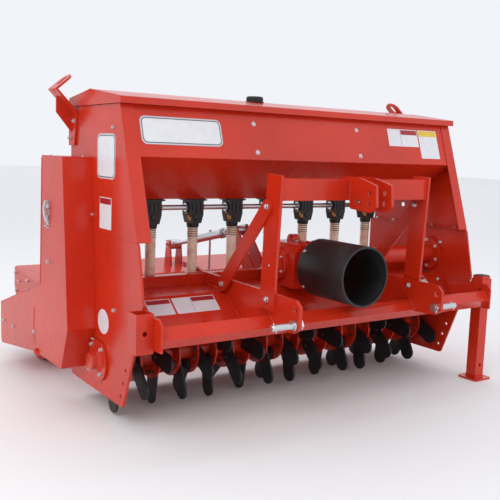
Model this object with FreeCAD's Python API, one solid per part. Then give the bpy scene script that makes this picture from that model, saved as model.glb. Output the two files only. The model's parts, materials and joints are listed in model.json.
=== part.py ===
"""Three-point-mounted rotary-tiller seed drill, as an assembly of separate sub-components.

Working frame while modelling: X across the machine (0 = hitch centre, -X = seed-drive side),
Y along the machine (0 = rotor axis, -Y = towards the tractor), Z up (0 = floor).
At export everything is moved so that the origin is on the floor at the centre of the footprint.
"""
import FreeCAD, Part
import math
import os

Vector = FreeCAD.Vector

# ---------------------------------------------------------------- driving dimensions (mm)
HALF_WIDTH = 783.0          # outer face of each side plate
PLATE_T = 8.0               # tiller side plates
SHEET_T = 3.0               # hopper sheet
LID_T = 2.5                 # hopper lid sheet
HOOD_T = 5.0                # rotor hood
RUN_FIT = 0.1               # radial running clearance at pins and shafts
BODY_GAP = 0.4              # gap between pieces that move against each other
SEAM_Z = 642.0              # joint between tiller side plates and hopper end plates
REAR_Y = 300.0              # rear edge of the tiller side plates
PLATE_BOTTOM_Z = 76.0
PLATE_FRONT_CORNER = (-336.0, 446.0)
PLATE_TOE = (-196.0, 76.0)
SMALL_HOLE_R = 6.5

ROTOR_Z = 192.5             # rotor axis height
ROTOR_TIP_R = 191.0         # blade tip radius
ROTOR_TUBE_R = 38.0
ROTOR_STUB_R = 25.0
ROTOR_END_GAP = 20.0        # between the rotor tube's end and the side plate
DISC_R = 92.0
DISC_T = 8.0
DISC_COUNT = 20
DISC_PITCH = 78.0
BLADES_PER_DISC = 4
BLADE_W = 68.0
BLADE_T = 8.0
BLADE_ROOT_R = 60.0
BLADE_TUBE_GAP = 3.0        # between a blade's root and the rotor tube
BLADE_RAKE = 25.0           # degrees between a blade and its radius
DISC_PHASE = -36.0          # degrees from one disc to the next
ROTOR_START = 56.0          # degrees that the whole rotor is turned

HOOD_FRONT = (-270.0, 309.0)
HOOD_BEND_FRONT = (-116.0, 428.0)
HOOD_BEND_REAR = (64.0, 432.0)
HOOD_REAR = (190.0, 326.0)
CROSS_MEMBER_W = 36.0
CROSS_MEMBER_H = 40.0
TUBE_WALL = 5.0

HOPPER_TOP_Z = 1083.6
HOPPER_FRONT_TOP_Y = -147.0
HOPPER_FRONT_SEAM_Y = -290.0
HOPPER_REAR_Y = 278.0
HOPPER_PANEL_H = 169.6      # height of the upright front panel
HOPPER_FLOOR_Z = 757.0
METER_Y = 93.0
FLOOR_HALF = 38.0           # half width of the hopper floor strip
END_FLANGE_W = 50.0
SEAM_LIP_W = 32.0           # inward lip along the end plate's bottom edge
TOP_RETURN = 26.0           # folded top edge of the front panel

LID_OVERHANG = 7.5          # past the hopper's end plates
LID_FRONT_OVERHANG = 21.0
LID_REAR_GAP = 3.0          # lid's rear skirt behind the rear panel
LID_SKIRT_H = 22.0
LID_RIDGE_Y = 83.0
LID_RIDGE_RISE = 55.4
LID_REAR_RISE = 30.0
LID_RETURN = 26.0
LID_HINGE_BACK = 11.0       # hinge axis behind the lid's rear skirt
EYE_STRAP_Y = (206.0, 282.0)
EYE_STRAP_T = 8.0
EYE_TAB_LENGTH = 79.0       # from the strap's outer bend to the tab's round end
EYE_SLOT_R = 11.0
EYE_SLOT_REACH = 12.0       # from the slot's middle to the centre of its round end
LID_HINGE_X = (-520.0, 0.0, 520.0)
HINGE_PIN_R = 4.0

BEAM_SIDE = 50.0
BEAM_Y = -407.0
BEAM_Z = 360.0
BRACKET_T = 8.0
SOCKET_WALL = 4.7
SOCKET_Z = (311.0, 439.0)
SOCKET_GAP = 2.0            # socket rear face to the side plate's front corner
LEG_SIDE = 50.0
LEG_TOP_Z = 452.0
LEG_WALL_GAP = 0.3
FOOT_SIDE = 100.0
FOOT_T = 8.0
PIN_HOLE_R = 8.0
PIN_HOLE_Z = 376.0

ARM_X = 335.0               # centre plane of each hitch arm
ARM_T = 12.0
HITCH_PIN = (-544.0, 387.0)
HITCH_PIN_R = 11.0
PIN_COLLAR_T = 10.0
HITCH_PIN_LENGTH = 80.0     # between the collar and the pin's tip
HITCH_UPPER_HOLE = (-542.0, 437.0)
MAST_T = 11.0
MAST_W = 80.0
MAST_TOP = (-417.0, 870.0)
MAST_BOTTOM = (-397.0, 412.0)
BRACE_W = 52.0
BRACE_T = 10.0
BRACE_TOP = (-392.0, 762.0)
BRACE_BOTTOM = (-128.0, 457.0)
BOLT_R = 9.0
CROSSBAR_Y = (-445.0, -375.0)
CROSSBAR_Z = (785.0, 858.0)
CLEVIS_X = 36.0
CLEVIS_T = 12.0
TOP_LINK_R = 9.75
TOP_LINK_HOLES = ((-542.0, 816.0), (-541.0, 780.0), (-486.0, 783.0))

DRIVE_Z = 517.0             # gearbox input axis and cross shaft height
CROSS_SHAFT_Y = -90.0
GEARBOX_X = 95.0
GEARBOX_FRONT_Y = -200.0
GEARBOX_REAR_Y = -10.0
GEARBOX_HUB_Y = -262.0
CROSS_TUBE_R = 37.5
DISH_R = 73.0
SHIELD_R = 109.0
SHIELD_T = 4.0
SHIELD_FRONT_Y = -502.0
PTO_R = 17.5
PTO_SEAT_R = 20.0           # shaft radius inside the front hub
PTO_TIP_Y = -372.0
CASE_DEPTH = 62.0
CASE_TOP_R = 92.0
CASE_BOTTOM_R = 84.0

METER_COUNT = 7
METER_PITCH = 181.0
METER_HALF = 30.0
METER_BASE_Z = 645.0
METER_SHAFT_Z = 722.0
METER_SHAFT_R = 10.0
TUBE_R = 20.5
TUBE_BORE_R = 17.5
TUBE_BEND_R = 110.0
TUBE_STANDOFF = 32.0        # tube axis above the hood's rear slope
TUBE_TAIL = 190.0           # tube length past the bend's corner
RAIL_AT = 120.0
RAIL_H = 62.0
RAIL_T = 5.0

FLAP_HINGE = (205.0, 305.0)
FLAP_END_GAP = 30.0
FLAP_T = 5.0
FLAP_BOTTOM_Z = 42.0
FLAP_TUBE_R = 10.0
FLAP_STUB_R = 8.0

COVER_DEPTH = 107.0         # how far the seed-drive cover stands out from the side plate
COVER_TUCK = 26.0           # how far its lower skirt tucks in
LATCH_Y = 226.0
LATCH_Z = 703.0
LATCH_PLATE_T = 2.0
LATCH_LEVER_W = 18.0
LATCH_PIVOT_R = 3.4

ROLLER_Y = 770.0
ROLLER_R = 165.0
ROLLER_END_GAP = 15.0       # between the drum's end and its arm
ROLLER_WALL = 6.0
ROLLER_STUB_R = 20.0
ROLLER_ARM_GAP = 18.0       # roller arms inside the side plates' outer faces
ROLLER_ARM_T = 8.0
ROLLER_PIVOT = (255.0, 420.0)
ROLLER_PIVOT_R = 15.0
ROLLER_HOOD_FRONT = (739.0, 352.0)
ROLLER_HOOD_REAR = (1030.0, 380.0)
ROLLER_HOOD_DROP = 80.0

TURN_FRONT = (309.0, 601.0)
TURN_REAR = (901.0, 466.0)
TURN_PIN_R = 9.5
TURN_DRIFT = 2.5            # extra room in the rear eye, where the linkage is opened
TURN_ROD_R = 11.0
TURN_BARREL_R = 19.0
TURN_BARREL = (115.0, 385.0)    # barrel's two ends, along the link from the front eye
EYE_R = 25.0
EYE_HALF = 25.0
LUG_T = 8.0

PLATE_IN = HALF_WIDTH - PLATE_T
PANEL_IN = HALF_WIDTH - SHEET_T
ARM_OUT = ARM_X + ARM_T / 2
ARM_IN = ARM_X - ARM_T / 2
HITCH_PIN_END_X = ARM_OUT + PIN_COLLAR_T + HITCH_PIN_LENGTH + 3
COVER_X = HALF_WIDTH + COVER_DEPTH
FLAP_HALF = PLATE_IN - FLAP_END_GAP
ROTOR_TUBE_HALF = PLATE_IN - ROTOR_END_GAP
ROLLER_ARM_OUT = HALF_WIDTH - ROLLER_ARM_GAP
ROLLER_ARM_IN = ROLLER_ARM_OUT - ROLLER_ARM_T
ROLLER_HALF = ROLLER_ARM_IN - ROLLER_END_GAP
HOPPER_PANEL_Z = HOPPER_TOP_Z - HOPPER_PANEL_H
LID_HALF = HALF_WIDTH + LID_OVERHANG
LID_FRONT_Y = HOPPER_FRONT_TOP_Y - LID_FRONT_OVERHANG
LID_REAR_Y = HOPPER_REAR_Y + LID_REAR_GAP
LID_RIDGE = (LID_RIDGE_Y, HOPPER_TOP_Z + LID_RIDGE_RISE)
LID_HINGE = (LID_REAR_Y + LID_HINGE_BACK, HOPPER_TOP_Z + 5.0)


# ---------------------------------------------------------------- shape helpers
def block(x0, x1, y0, y1, z0, z1):
    """A box between opposite corners."""
    low = Vector(min(x0, x1), min(y0, y1), min(z0, z1))
    return Part.makeBox(abs(x1 - x0), abs(y1 - y0), abs(z1 - z0), low)


def prism_x(points, x0, x1):
    """An outline in the YZ plane, extruded along X."""
    loop = [Vector(x0, y, z) for y, z in points]
    face = Part.Face(Part.makePolygon(loop + loop[:1]))
    return face.extrude(Vector(x1 - x0, 0, 0))


def prism_y(points, y0, y1):
    """An outline in the XZ plane, extruded along Y."""
    loop = [Vector(x, y0, z) for x, z in points]
    face = Part.Face(Part.makePolygon(loop + loop[:1]))
    return face.extrude(Vector(0, y1 - y0, 0))


def rod_x(radius, x0, x1, at):
    """A cylinder along X at (y, z)."""
    start = Vector(min(x0, x1), at[0], at[1])
    return Part.makeCylinder(radius, abs(x1 - x0), start, Vector(1, 0, 0))


def rod_y(radius, y0, y1, x, z):
    """A cylinder along Y."""
    return Part.makeCylinder(radius, y1 - y0, Vector(x, y0, z), Vector(0, 1, 0))


def rod_z(radius, z0, z1, x, y):
    """A cylinder along Z."""
    return Part.makeCylinder(radius, z1 - z0, Vector(x, y, z0), Vector(0, 0, 1))


def unit(a, b):
    """The unit direction from a to b, as a pair."""
    length = math.hypot(b[0] - a[0], b[1] - a[1])
    return ((b[0] - a[0]) / length, (b[1] - a[1]) / length)


def along(start, direction, distance, side=0.0):
    """A point a distance along a direction, and to its left by side."""
    y = start[0] + direction[0] * distance - direction[1] * side
    z = start[1] + direction[1] * distance + direction[0] * side
    return (y, z)


def offset_line(points, distance):
    """An open line moved to its left by a distance, with mitred corners."""
    moved = []
    for i, point in enumerate(points):
        before = unit(points[i - 1], point) if i > 0 else None
        after = unit(point, points[i + 1]) if i < len(points) - 1 else None
        first = before or after
        second = after or before
        bisector = (-(first[1] + second[1]), first[0] + second[0])
        size = math.hypot(bisector[0], bisector[1])
        stretch = distance / (size / 2)
        moved.append((point[0] + bisector[0] / size * stretch, point[1] + bisector[1] / size * stretch))
    return moved


def offset_loop(points, distance):
    """A closed outline, running anticlockwise, shrunk by a distance."""
    wrapped = [points[-1]] + list(points) + [points[0]]
    return offset_line(wrapped, distance)[1:-1]


def folded(points, thickness):
    """The outline of a folded sheet whose other face lies to the left of the given line."""
    return list(points) + offset_line(points, thickness)[::-1]


def bar(start, end, width):
    """The outline of a flat bar between two points."""
    direction = unit(start, end)
    corners = [(start, width / 2), (start, -width / 2), (end, -width / 2), (end, width / 2)]
    return [along(point, direction, 0, side) for point, side in corners]


def hexagon(centre, radius):
    """The six corners of a nut."""
    turns = [math.radians(60 * i) for i in range(6)]
    return [(centre[0] + radius * math.cos(turn), centre[1] + radius * math.sin(turn)) for turn in turns]


def mirrored(shape):
    """The same piece on the other side of the machine."""
    return shape.mirror(Vector(0, 0, 0), Vector(1, 0, 0))


def both(shape):
    """A piece and its mirror image."""
    return [shape, mirrored(shape)]


def rounded(shape, radius, direction):
    """Round the corners whose edges run along a direction."""
    picked = []
    for edge in shape.Edges:
        if len(edge.Vertexes) == 2 and isinstance(edge.Curve, Part.Line):
            if abs(abs(edge.tangentAt(edge.FirstParameter).dot(direction)) - 1) < 1e-6:
                picked.append(edge)
    return shape.makeFillet(radius, picked)


# ---------------------------------------------------------------- tiller frame
def side_plate(side):
    """One tiller side plate, with bores for the rotor, the roller arms and the flap."""
    outline = [(HOPPER_FRONT_SEAM_Y - SHEET_T, SEAM_Z), PLATE_FRONT_CORNER, PLATE_TOE]
    outline += [(REAR_Y - 45, PLATE_BOTTOM_Z), (REAR_Y, PLATE_BOTTOM_Z + 54), (REAR_Y, SEAM_Z)]
    plate = prism_x(outline, side * PLATE_IN, side * HALF_WIDTH)
    plate = rounded(plate, 14.0, Vector(1, 0, 0))
    bores = [((0, ROTOR_Z), ROTOR_STUB_R + RUN_FIT), (ROLLER_PIVOT, ROLLER_PIVOT_R + RUN_FIT)]
    bores += [(FLAP_HINGE, FLAP_STUB_R + RUN_FIT)]
    edge = unit(PLATE_TOE, PLATE_FRONT_CORNER)
    bores += [(along(PLATE_TOE, edge, distance, -28), SMALL_HOLE_R) for distance in (28, 81, 134)]
    for at, radius in bores:
        plate = plate.cut(rod_x(radius, side * (PLATE_IN - 5), side * (HALF_WIDTH + 5), at))
    return plate


def hood():
    """The rotor hood, a folded sheet between the side plates."""
    line = [HOOD_REAR, HOOD_BEND_REAR, HOOD_BEND_FRONT, HOOD_FRONT]
    return prism_x(folded(line, HOOD_T), -PLATE_IN, PLATE_IN)


def hood_height(y):
    """Height of the hood's top face."""
    line = [HOOD_FRONT, HOOD_BEND_FRONT, HOOD_BEND_REAR, HOOD_REAR]
    for (y0, z0), (y1, z1) in zip(line, line[1:]):
        if y <= y1:
            return z0 + (y - y0) * (z1 - z0) / (y1 - y0)
    return HOOD_REAR[1]


CROSS_REAR_Y = HOOD_BEND_REAR[0]
CROSS_FRONT_Y = CROSS_REAR_Y - CROSS_MEMBER_W
CROSS_TOP_Z = HOOD_BEND_REAR[1] + CROSS_MEMBER_H


def rear_cross_member():
    """A box tube on the hood's rear bend, between the side plates."""
    base = [(CROSS_REAR_Y, hood_height(CROSS_REAR_Y)), (CROSS_REAR_Y, CROSS_TOP_Z)]
    base += [(CROSS_FRONT_Y, CROSS_TOP_Z), (CROSS_FRONT_Y, hood_height(CROSS_FRONT_Y))]
    outer = prism_x(base, -PLATE_IN, PLATE_IN)
    inner = prism_x(offset_loop(base, 4.0), -PLATE_IN, PLATE_IN)
    return outer.cut(inner)


def diamond(half):
    """A square on its corner, centred on the front beam."""
    rear, front = (BEAM_Y + half, BEAM_Z), (BEAM_Y - half, BEAM_Z)
    return [rear, (BEAM_Y, BEAM_Z + half), front, (BEAM_Y, BEAM_Z - half)]


BEAM_HALF = BEAM_SIDE / math.sqrt(2)
BRACKET_IN = PLATE_IN - BRACKET_T


def front_beam():
    """The square front beam, turned on its corner."""
    outer = prism_x(diamond(BEAM_HALF), -BRACKET_IN, BRACKET_IN)
    inner = prism_x(diamond(BEAM_HALF - TUBE_WALL * math.sqrt(2)), -BRACKET_IN, BRACKET_IN)
    return outer.cut(inner)


def end_bracket():
    """The plate that ties the beam's right end and the leg socket to the side plate."""
    front = BEAM_Y - BEAM_HALF - 4
    low, high = BEAM_Z - 38, BEAM_Z + 64
    outline = [(front, low), (front, high - 20), (front + 16, high), (PLATE_FRONT_CORNER[0], high)]
    outline += [(-215, high - 16), (-215, low + 40), (-300, low - 4)]
    plate = prism_x(outline, BRACKET_IN, PLATE_IN)
    slot_z = high - 28
    slot = prism_x(bar((BEAM_Y + 6, slot_z), (BEAM_Y + 22, slot_z), 13), BRACKET_IN - 5, PLATE_IN + 5)
    return plate.cut(slot)


SOCKET_SIDE = LEG_SIDE + 2 * (LEG_WALL_GAP + SOCKET_WALL)
SOCKET_REAR_Y = PLATE_FRONT_CORNER[0] - SOCKET_GAP
LEG_X = PLATE_IN + SOCKET_SIDE / 2
LEG_Y = SOCKET_REAR_Y - SOCKET_SIDE / 2


def leg_socket():
    """The right-hand square socket for a parking leg, open at both ends."""
    half = SOCKET_SIDE / 2
    bore = LEG_SIDE / 2 + LEG_WALL_GAP
    outer = block(LEG_X - half, LEG_X + half, LEG_Y - half, LEG_Y + half, SOCKET_Z[0], SOCKET_Z[1])
    inner = block(LEG_X - bore, LEG_X + bore, LEG_Y - bore, LEG_Y + bore, SOCKET_Z[0] - 5, SOCKET_Z[1] + 5)
    hole = rod_y(PIN_HOLE_R, LEG_Y - half - 5, LEG_Y + half + 5, LEG_X, PIN_HOLE_Z)
    return outer.cut(inner).cut(hole)


def parking_leg():
    """The right parking leg: a capped square tube on a foot plate."""
    half = LEG_SIDE / 2
    foot_half = FOOT_SIDE / 2
    tube = block(LEG_X - half, LEG_X + half, LEG_Y - half, LEG_Y + half, FOOT_T, LEG_TOP_Z)
    foot = block(LEG_X - foot_half, LEG_X + foot_half, LEG_Y - foot_half, LEG_Y + foot_half, 0, FOOT_T)
    foot = rounded(foot, 12.0, Vector(0, 0, 1))
    leg = tube.fuse(foot)
    for height in (62.0, PIN_HOLE_Z):
        leg = leg.cut(rod_y(PIN_HOLE_R, LEG_Y - half - 5, LEG_Y + half + 5, LEG_X, height))
    return leg


def leg_pin():
    """The bent locking pin, seated on the socket's outer face."""
    face = LEG_X + SOCKET_SIDE / 2
    shank = rod_x(5.0, face, face + 26, (LEG_Y, PIN_HOLE_Z + 10))
    drop = rod_z(5.0, PIN_HOLE_Z - 48, PIN_HOLE_Z + 15, face + 26, LEG_Y)
    collar = rod_x(9.0, face, face + 6, (LEG_Y, PIN_HOLE_Z + 10))
    return shank.fuse(drop).fuse(collar)


# ---------------------------------------------------------------- hitch
def hitch_arm():
    """The right hitch arm, notched over the front beam and standing on the hood."""
    outline = [(201, 494), (99, 490), (49, 478), (-126, 476), (-340, 473), (-545, 470), (-568, 450)]
    outline += [(-568, 375), (-533, 357), (BEAM_Y, 352), (HOOD_FRONT[0] - 20, 322), (-250, hood_height(-250))]
    outline += [HOOD_BEND_FRONT, (CROSS_FRONT_Y, hood_height(CROSS_FRONT_Y)), (CROSS_FRONT_Y, CROSS_TOP_Z)]
    outline += [(201, CROSS_TOP_Z)]
    plate = prism_x(outline, ARM_IN, ARM_OUT)
    plate = plate.cut(prism_x(diamond(BEAM_HALF), ARM_IN - 1, ARM_OUT + 1))
    for at, radius in ((HITCH_PIN, HITCH_PIN_R), (HITCH_UPPER_HOLE, HITCH_PIN_R)):
        plate = plate.cut(rod_x(radius, ARM_IN - 1, ARM_OUT + 1, at))
    return plate


def hitch_pin():
    """The right lower hitch pin with its collar and nut."""
    pin = rod_x(HITCH_PIN_R, ARM_IN - 16, HITCH_PIN_END_X - 3, HITCH_PIN)
    tip_at = Vector(HITCH_PIN_END_X - 3, *HITCH_PIN)
    tip = Part.makeCone(HITCH_PIN_R, HITCH_PIN_R - 3, 3, tip_at, Vector(1, 0, 0))
    collar = rod_x(HITCH_PIN_R + 7, ARM_OUT, ARM_OUT + PIN_COLLAR_T, HITCH_PIN)
    nut = prism_x(hexagon(HITCH_PIN, HITCH_PIN_R + 8), ARM_IN - 14, ARM_IN)
    return pin.fuse([tip, collar, nut])


def mast_post():
    """The right mast post, bolted to the outside of the hitch arm."""
    return prism_x(bar(MAST_BOTTOM, MAST_TOP, MAST_W), ARM_OUT, ARM_OUT + MAST_T)


def mast_brace():
    """The right diagonal brace, outside the post, with a spacer on the hitch arm."""
    inner = ARM_OUT + MAST_T
    brace = prism_x(bar(BRACE_TOP, BRACE_BOTTOM, BRACE_W), inner, inner + BRACE_T)
    ends = [rod_x(BRACE_W / 2, inner, inner + BRACE_T, at) for at in (BRACE_TOP, BRACE_BOTTOM)]
    spacer = rod_x(15.0, ARM_OUT, inner, BRACE_BOTTOM)
    return brace.fuse(ends).removeSplitter().fuse(spacer)


def mast_crossbar():
    """The box tube between the mast posts."""
    y0, y1 = CROSSBAR_Y
    z0, z1 = CROSSBAR_Z
    outer = block(-ARM_OUT, ARM_OUT, y0, y1, z0, z1)
    return outer.cut(block(-ARM_OUT, ARM_OUT, y0 + 6, y1 - 6, z0 + 6, z1 - 6))


def top_link_cheek():
    """The right cheek of the top-link clevis, wrapped over the crossbar."""
    top = CROSSBAR_Z[1] + 11
    outline = [(CROSSBAR_Y[1] - 21, top), (-489, top - 3), (-572, 844), (-580, 772), (-546, 749), (-452, 756)]
    outline += [(CROSSBAR_Y[0] + 15, 775), (CROSSBAR_Y[1] - 21, 800)]
    inner, outer = CLEVIS_X - CLEVIS_T / 2, CLEVIS_X + CLEVIS_T / 2
    plate = rounded(prism_x(outline, inner, outer), 9.0, Vector(1, 0, 0))
    plate = plate.cut(block(0, outer + 5, CROSSBAR_Y[0], CROSSBAR_Y[1] + 60, 700, CROSSBAR_Z[1]))
    for at in TOP_LINK_HOLES:
        plate = plate.cut(rod_x(TOP_LINK_R, 0, outer + 5, at))
    return plate


# ---------------------------------------------------------------- drive line
def gearbox():
    """The gearbox casting: a bevelled block, front and side hubs, a lug and two feet."""
    half = GEARBOX_X - 12
    base_z = hood_height(-60)
    side = [(-half, base_z), (half, base_z), (half, DRIVE_Z + 45), (half - 30, DRIVE_Z + 78)]
    side += [(-half + 30, DRIVE_Z + 78), (-half, DRIVE_Z + 45)]
    body = prism_y(side, GEARBOX_FRONT_Y, GEARBOX_REAR_Y)
    deck = [(-300, 0), (300, 0), (300, hood_height(0)), HOOD_BEND_REAR, HOOD_BEND_FRONT]
    deck.append((-300, HOOD_BEND_FRONT[1]))
    body = body.cut(prism_x(deck, -200, 200))
    hub = rod_y(62.0, GEARBOX_HUB_Y + 10, GEARBOX_FRONT_Y + 5, 0, DRIVE_Z)
    flange = rod_y(SHIELD_R - SHIELD_T, GEARBOX_HUB_Y, GEARBOX_HUB_Y + 12, 0, DRIVE_Z)
    cheeks = rod_x(66.0, -GEARBOX_X - 6, GEARBOX_X + 14, (CROSS_SHAFT_Y, DRIVE_Z))
    boss = rod_x(48.0, -GEARBOX_X - 26, -GEARBOX_X, (CROSS_SHAFT_Y, DRIVE_Z))
    lug = prism_x(bar((-80, DRIVE_Z + 60), (-80, DRIVE_Z + 108), 60), -9, 9)
    lug = rounded(lug, 22.0, Vector(1, 0, 0)).cut(rod_x(11.0, -20, 20, (-80, DRIVE_Z + 92)))
    casting = body.fuse([hub, flange, cheeks, boss, lug])
    bore = rod_y(PTO_SEAT_R + RUN_FIT, GEARBOX_HUB_Y - 1, GEARBOX_FRONT_Y + 60, 0, DRIVE_Z)
    return casting.cut(bore)


def input_shaft():
    """The PTO input shaft, running in the gearbox's front hub."""
    seat = rod_y(PTO_SEAT_R, GEARBOX_HUB_Y, GEARBOX_FRONT_Y + 58, 0, DRIVE_Z)
    return rod_y(PTO_R, PTO_TIP_Y, GEARBOX_HUB_Y, 0, DRIVE_Z).fuse(seat)


def pto_shield():
    """The round guard around the input shaft, fixed on the gearbox's front flange."""
    rear = GEARBOX_HUB_Y + 12
    outer = rod_y(SHIELD_R, SHIELD_FRONT_Y, rear, 0, DRIVE_Z)
    return outer.cut(rod_y(SHIELD_R - SHIELD_T, SHIELD_FRONT_Y, rear, 0, DRIVE_Z))


def cross_tube():
    """The tube from the gearbox to the right side plate, with its dished end flange."""
    at = (CROSS_SHAFT_Y, DRIVE_Z)
    tube = rod_x(CROSS_TUBE_R, GEARBOX_X + 14, PLATE_IN, at)
    dish = rod_x(DISH_R, PLATE_IN - 14, PLATE_IN, at)
    return tube.fuse(dish)


def side_drive_case():
    """The closed case outside the right side plate, from the cross shaft down to the rotor."""
    top = (CROSS_SHAFT_Y, DRIVE_Z)
    bottom = (0.0, ROTOR_Z)
    direction = unit(top, bottom)
    sides = [along(top, direction, 0, CASE_TOP_R), along(top, direction, 0, -CASE_TOP_R)]
    sides += [along(bottom, direction, 0, -CASE_BOTTOM_R), along(bottom, direction, 0, CASE_BOTTOM_R)]
    case = prism_x(sides, HALF_WIDTH, HALF_WIDTH + CASE_DEPTH)
    ends = [rod_x(CASE_TOP_R, HALF_WIDTH, HALF_WIDTH + CASE_DEPTH, top)]
    ends += [rod_x(CASE_BOTTOM_R, HALF_WIDTH, HALF_WIDTH + CASE_DEPTH, bottom)]
    case = case.fuse(ends)
    stub = rod_x(ROTOR_STUB_R + 3, HALF_WIDTH - 1, HALF_WIDTH + 20, bottom)
    return case.cut(stub).removeSplitter()


# ---------------------------------------------------------------- rotor
def disc_places():
    """The X place of each blade disc."""
    return [(i - (DISC_COUNT - 1) / 2) * DISC_PITCH for i in range(DISC_COUNT)]


def rotor_shaft():
    """The rotor tube with its stub ends."""
    axis = (0.0, ROTOR_Z)
    shaft = rod_x(ROTOR_TUBE_R, -ROTOR_TUBE_HALF, ROTOR_TUBE_HALF, axis)
    return shaft.fuse(rod_x(ROTOR_STUB_R, -HALF_WIDTH, HALF_WIDTH, axis))


def rotor_disc(x):
    """One blade disc, welded round the rotor tube."""
    axis = (0.0, ROTOR_Z)
    disc = rod_x(DISC_R, x - DISC_T / 2, x + DISC_T / 2, axis)
    return disc.cut(rod_x(ROTOR_TUBE_R, x - DISC_T, x + DISC_T, axis))


def blade(x0, x1, angle):
    """One flat blade with rounded ends, raked back from its radius and hollowed round the tube."""
    half = BLADE_W / 2
    reach = ROTOR_TIP_R - half
    rake = math.radians(BLADE_RAKE)
    turn = math.radians(angle)
    root = (BLADE_ROOT_R * math.sin(turn), ROTOR_Z - BLADE_ROOT_R * math.cos(turn))
    length = math.sqrt(reach ** 2 - (BLADE_ROOT_R * math.sin(rake)) ** 2) - BLADE_ROOT_R * math.cos(rake)
    way = (math.sin(turn + rake), -math.cos(turn + rake))
    tip = along(root, way, length)
    middle = prism_x(bar(root, tip, BLADE_W), x0, x1)
    ends = [rod_x(half, x0, x1, root), rod_x(half, x0, x1, tip)]
    hollow = rod_x(ROTOR_TUBE_R + BLADE_TUBE_GAP, x0, x1, (0.0, ROTOR_Z))
    return middle.fuse(ends).removeSplitter().cut(hollow)


def rotor_blades():
    """Four blades on each disc, two on each face, stepped round from disc to disc."""
    blades = []
    for i, x in enumerate(disc_places()):
        for k in range(BLADES_PER_DISC):
            face = 1 if k % 2 == 0 else -1
            angle = ROTOR_START + i * DISC_PHASE + k * 360.0 / BLADES_PER_DISC
            inner = x + face * DISC_T / 2
            blades.append(blade(inner, inner + face * BLADE_T, angle))
    return blades


def rotor_bearing():
    """The left rotor bearing: a bolted flange with a hub cap, outside the side plate."""
    axis = (0.0, ROTOR_Z)
    flange = rod_x(74.0, -HALF_WIDTH, -HALF_WIDTH - 9, axis)
    hub = Part.makeCone(46.0, 34.0, 12, Vector(-HALF_WIDTH - 9, *axis), Vector(-1, 0, 0))
    cap = rod_x(30.0, -HALF_WIDTH - 20, -HALF_WIDTH - 38, axis)
    bearing = flange.fuse([hub, cap])
    return bearing.cut(rod_x(ROTOR_STUB_R + 3, -HALF_WIDTH + 1, -HALF_WIDTH - 4, axis))


# ---------------------------------------------------------------- hopper
def front_edge(z):
    """Y of the hopper end plates' front edge at a height."""
    share = (HOPPER_TOP_Z - z) / (HOPPER_TOP_Z - SEAM_Z)
    return HOPPER_FRONT_TOP_Y + share * (HOPPER_FRONT_SEAM_Y - HOPPER_FRONT_TOP_Y)


def hopper_end(side):
    """One hopper end plate, with its front flange folded inwards."""
    outline = [(HOPPER_REAR_Y, SEAM_Z), (HOPPER_REAR_Y, HOPPER_TOP_Z)]
    outline += [(HOPPER_FRONT_TOP_Y, HOPPER_TOP_Z), (HOPPER_FRONT_SEAM_Y, SEAM_Z)]
    plate = prism_x(outline, side * PANEL_IN, side * HALF_WIDTH)
    edge = [(HOPPER_FRONT_SEAM_Y, SEAM_Z), (HOPPER_FRONT_TOP_Y, HOPPER_TOP_Z)]
    flange = prism_x(folded(edge[::-1], SHEET_T), side * (HALF_WIDTH - END_FLANGE_W), side * HALF_WIDTH)
    above = block(-LID_HALF, LID_HALF, -400, 400, HOPPER_TOP_Z, HOPPER_TOP_Z + 50)
    below = block(-LID_HALF, LID_HALF, -400, 400, SEAM_Z - 50, SEAM_Z)
    lip_in = side * (HALF_WIDTH - SEAM_LIP_W)
    lip_y = HOPPER_FRONT_SEAM_Y + 2 * SHEET_T
    lip = block(lip_in, side * PANEL_IN, lip_y, HOPPER_REAR_Y, SEAM_Z, SEAM_Z + SHEET_T)
    plate = plate.fuse([flange.cut(above).cut(below), lip]).removeSplitter()
    bore = METER_SHAFT_R + RUN_FIT
    return plate.cut(rod_x(bore, side * (PANEL_IN - 5), side * (HALF_WIDTH + 5), (METER_Y, METER_SHAFT_Z)))


def panel_y(z):
    """Y of the front panel's outer face, which lies on the back of the end flanges."""
    lean = (front_edge(HOPPER_TOP_Z) - front_edge(SEAM_Z)) / (HOPPER_TOP_Z - SEAM_Z)
    return front_edge(z) + SHEET_T * math.hypot(1.0, lean)


def hopper_front():
    """The upright front panel behind the end flanges, with its folded top edge."""
    low = HOPPER_PANEL_Z - 10
    line = [(panel_y(HOPPER_TOP_Z) + TOP_RETURN, HOPPER_TOP_Z), (panel_y(HOPPER_TOP_Z), HOPPER_TOP_Z)]
    line.append((panel_y(low), low))
    panel = prism_x(folded(line, SHEET_T), -PANEL_IN, PANEL_IN)
    return panel.cut(block(-LID_HALF, LID_HALF, -400, 400, low - 10, HOPPER_PANEL_Z))


def hopper_trough():
    """The V-shaped lower hopper with its flat floor strip and one outlet over each meter."""
    line = [(panel_y(HOPPER_PANEL_Z), HOPPER_PANEL_Z), (METER_Y - FLOOR_HALF, HOPPER_FLOOR_Z)]
    line += [(METER_Y + FLOOR_HALF, HOPPER_FLOOR_Z), (HOPPER_REAR_Y, HOPPER_PANEL_Z)]
    trough = prism_x(folded(line, SHEET_T), -PANEL_IN, PANEL_IN)
    trough = trough.cut(block(-LID_HALF, LID_HALF, -400, 400, HOPPER_PANEL_Z, HOPPER_PANEL_Z + 20))
    for x in meter_places():
        trough = trough.cut(rod_z(18.0, HOPPER_FLOOR_Z - 5, HOPPER_FLOOR_Z + 10, x, METER_Y))
    return trough


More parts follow.
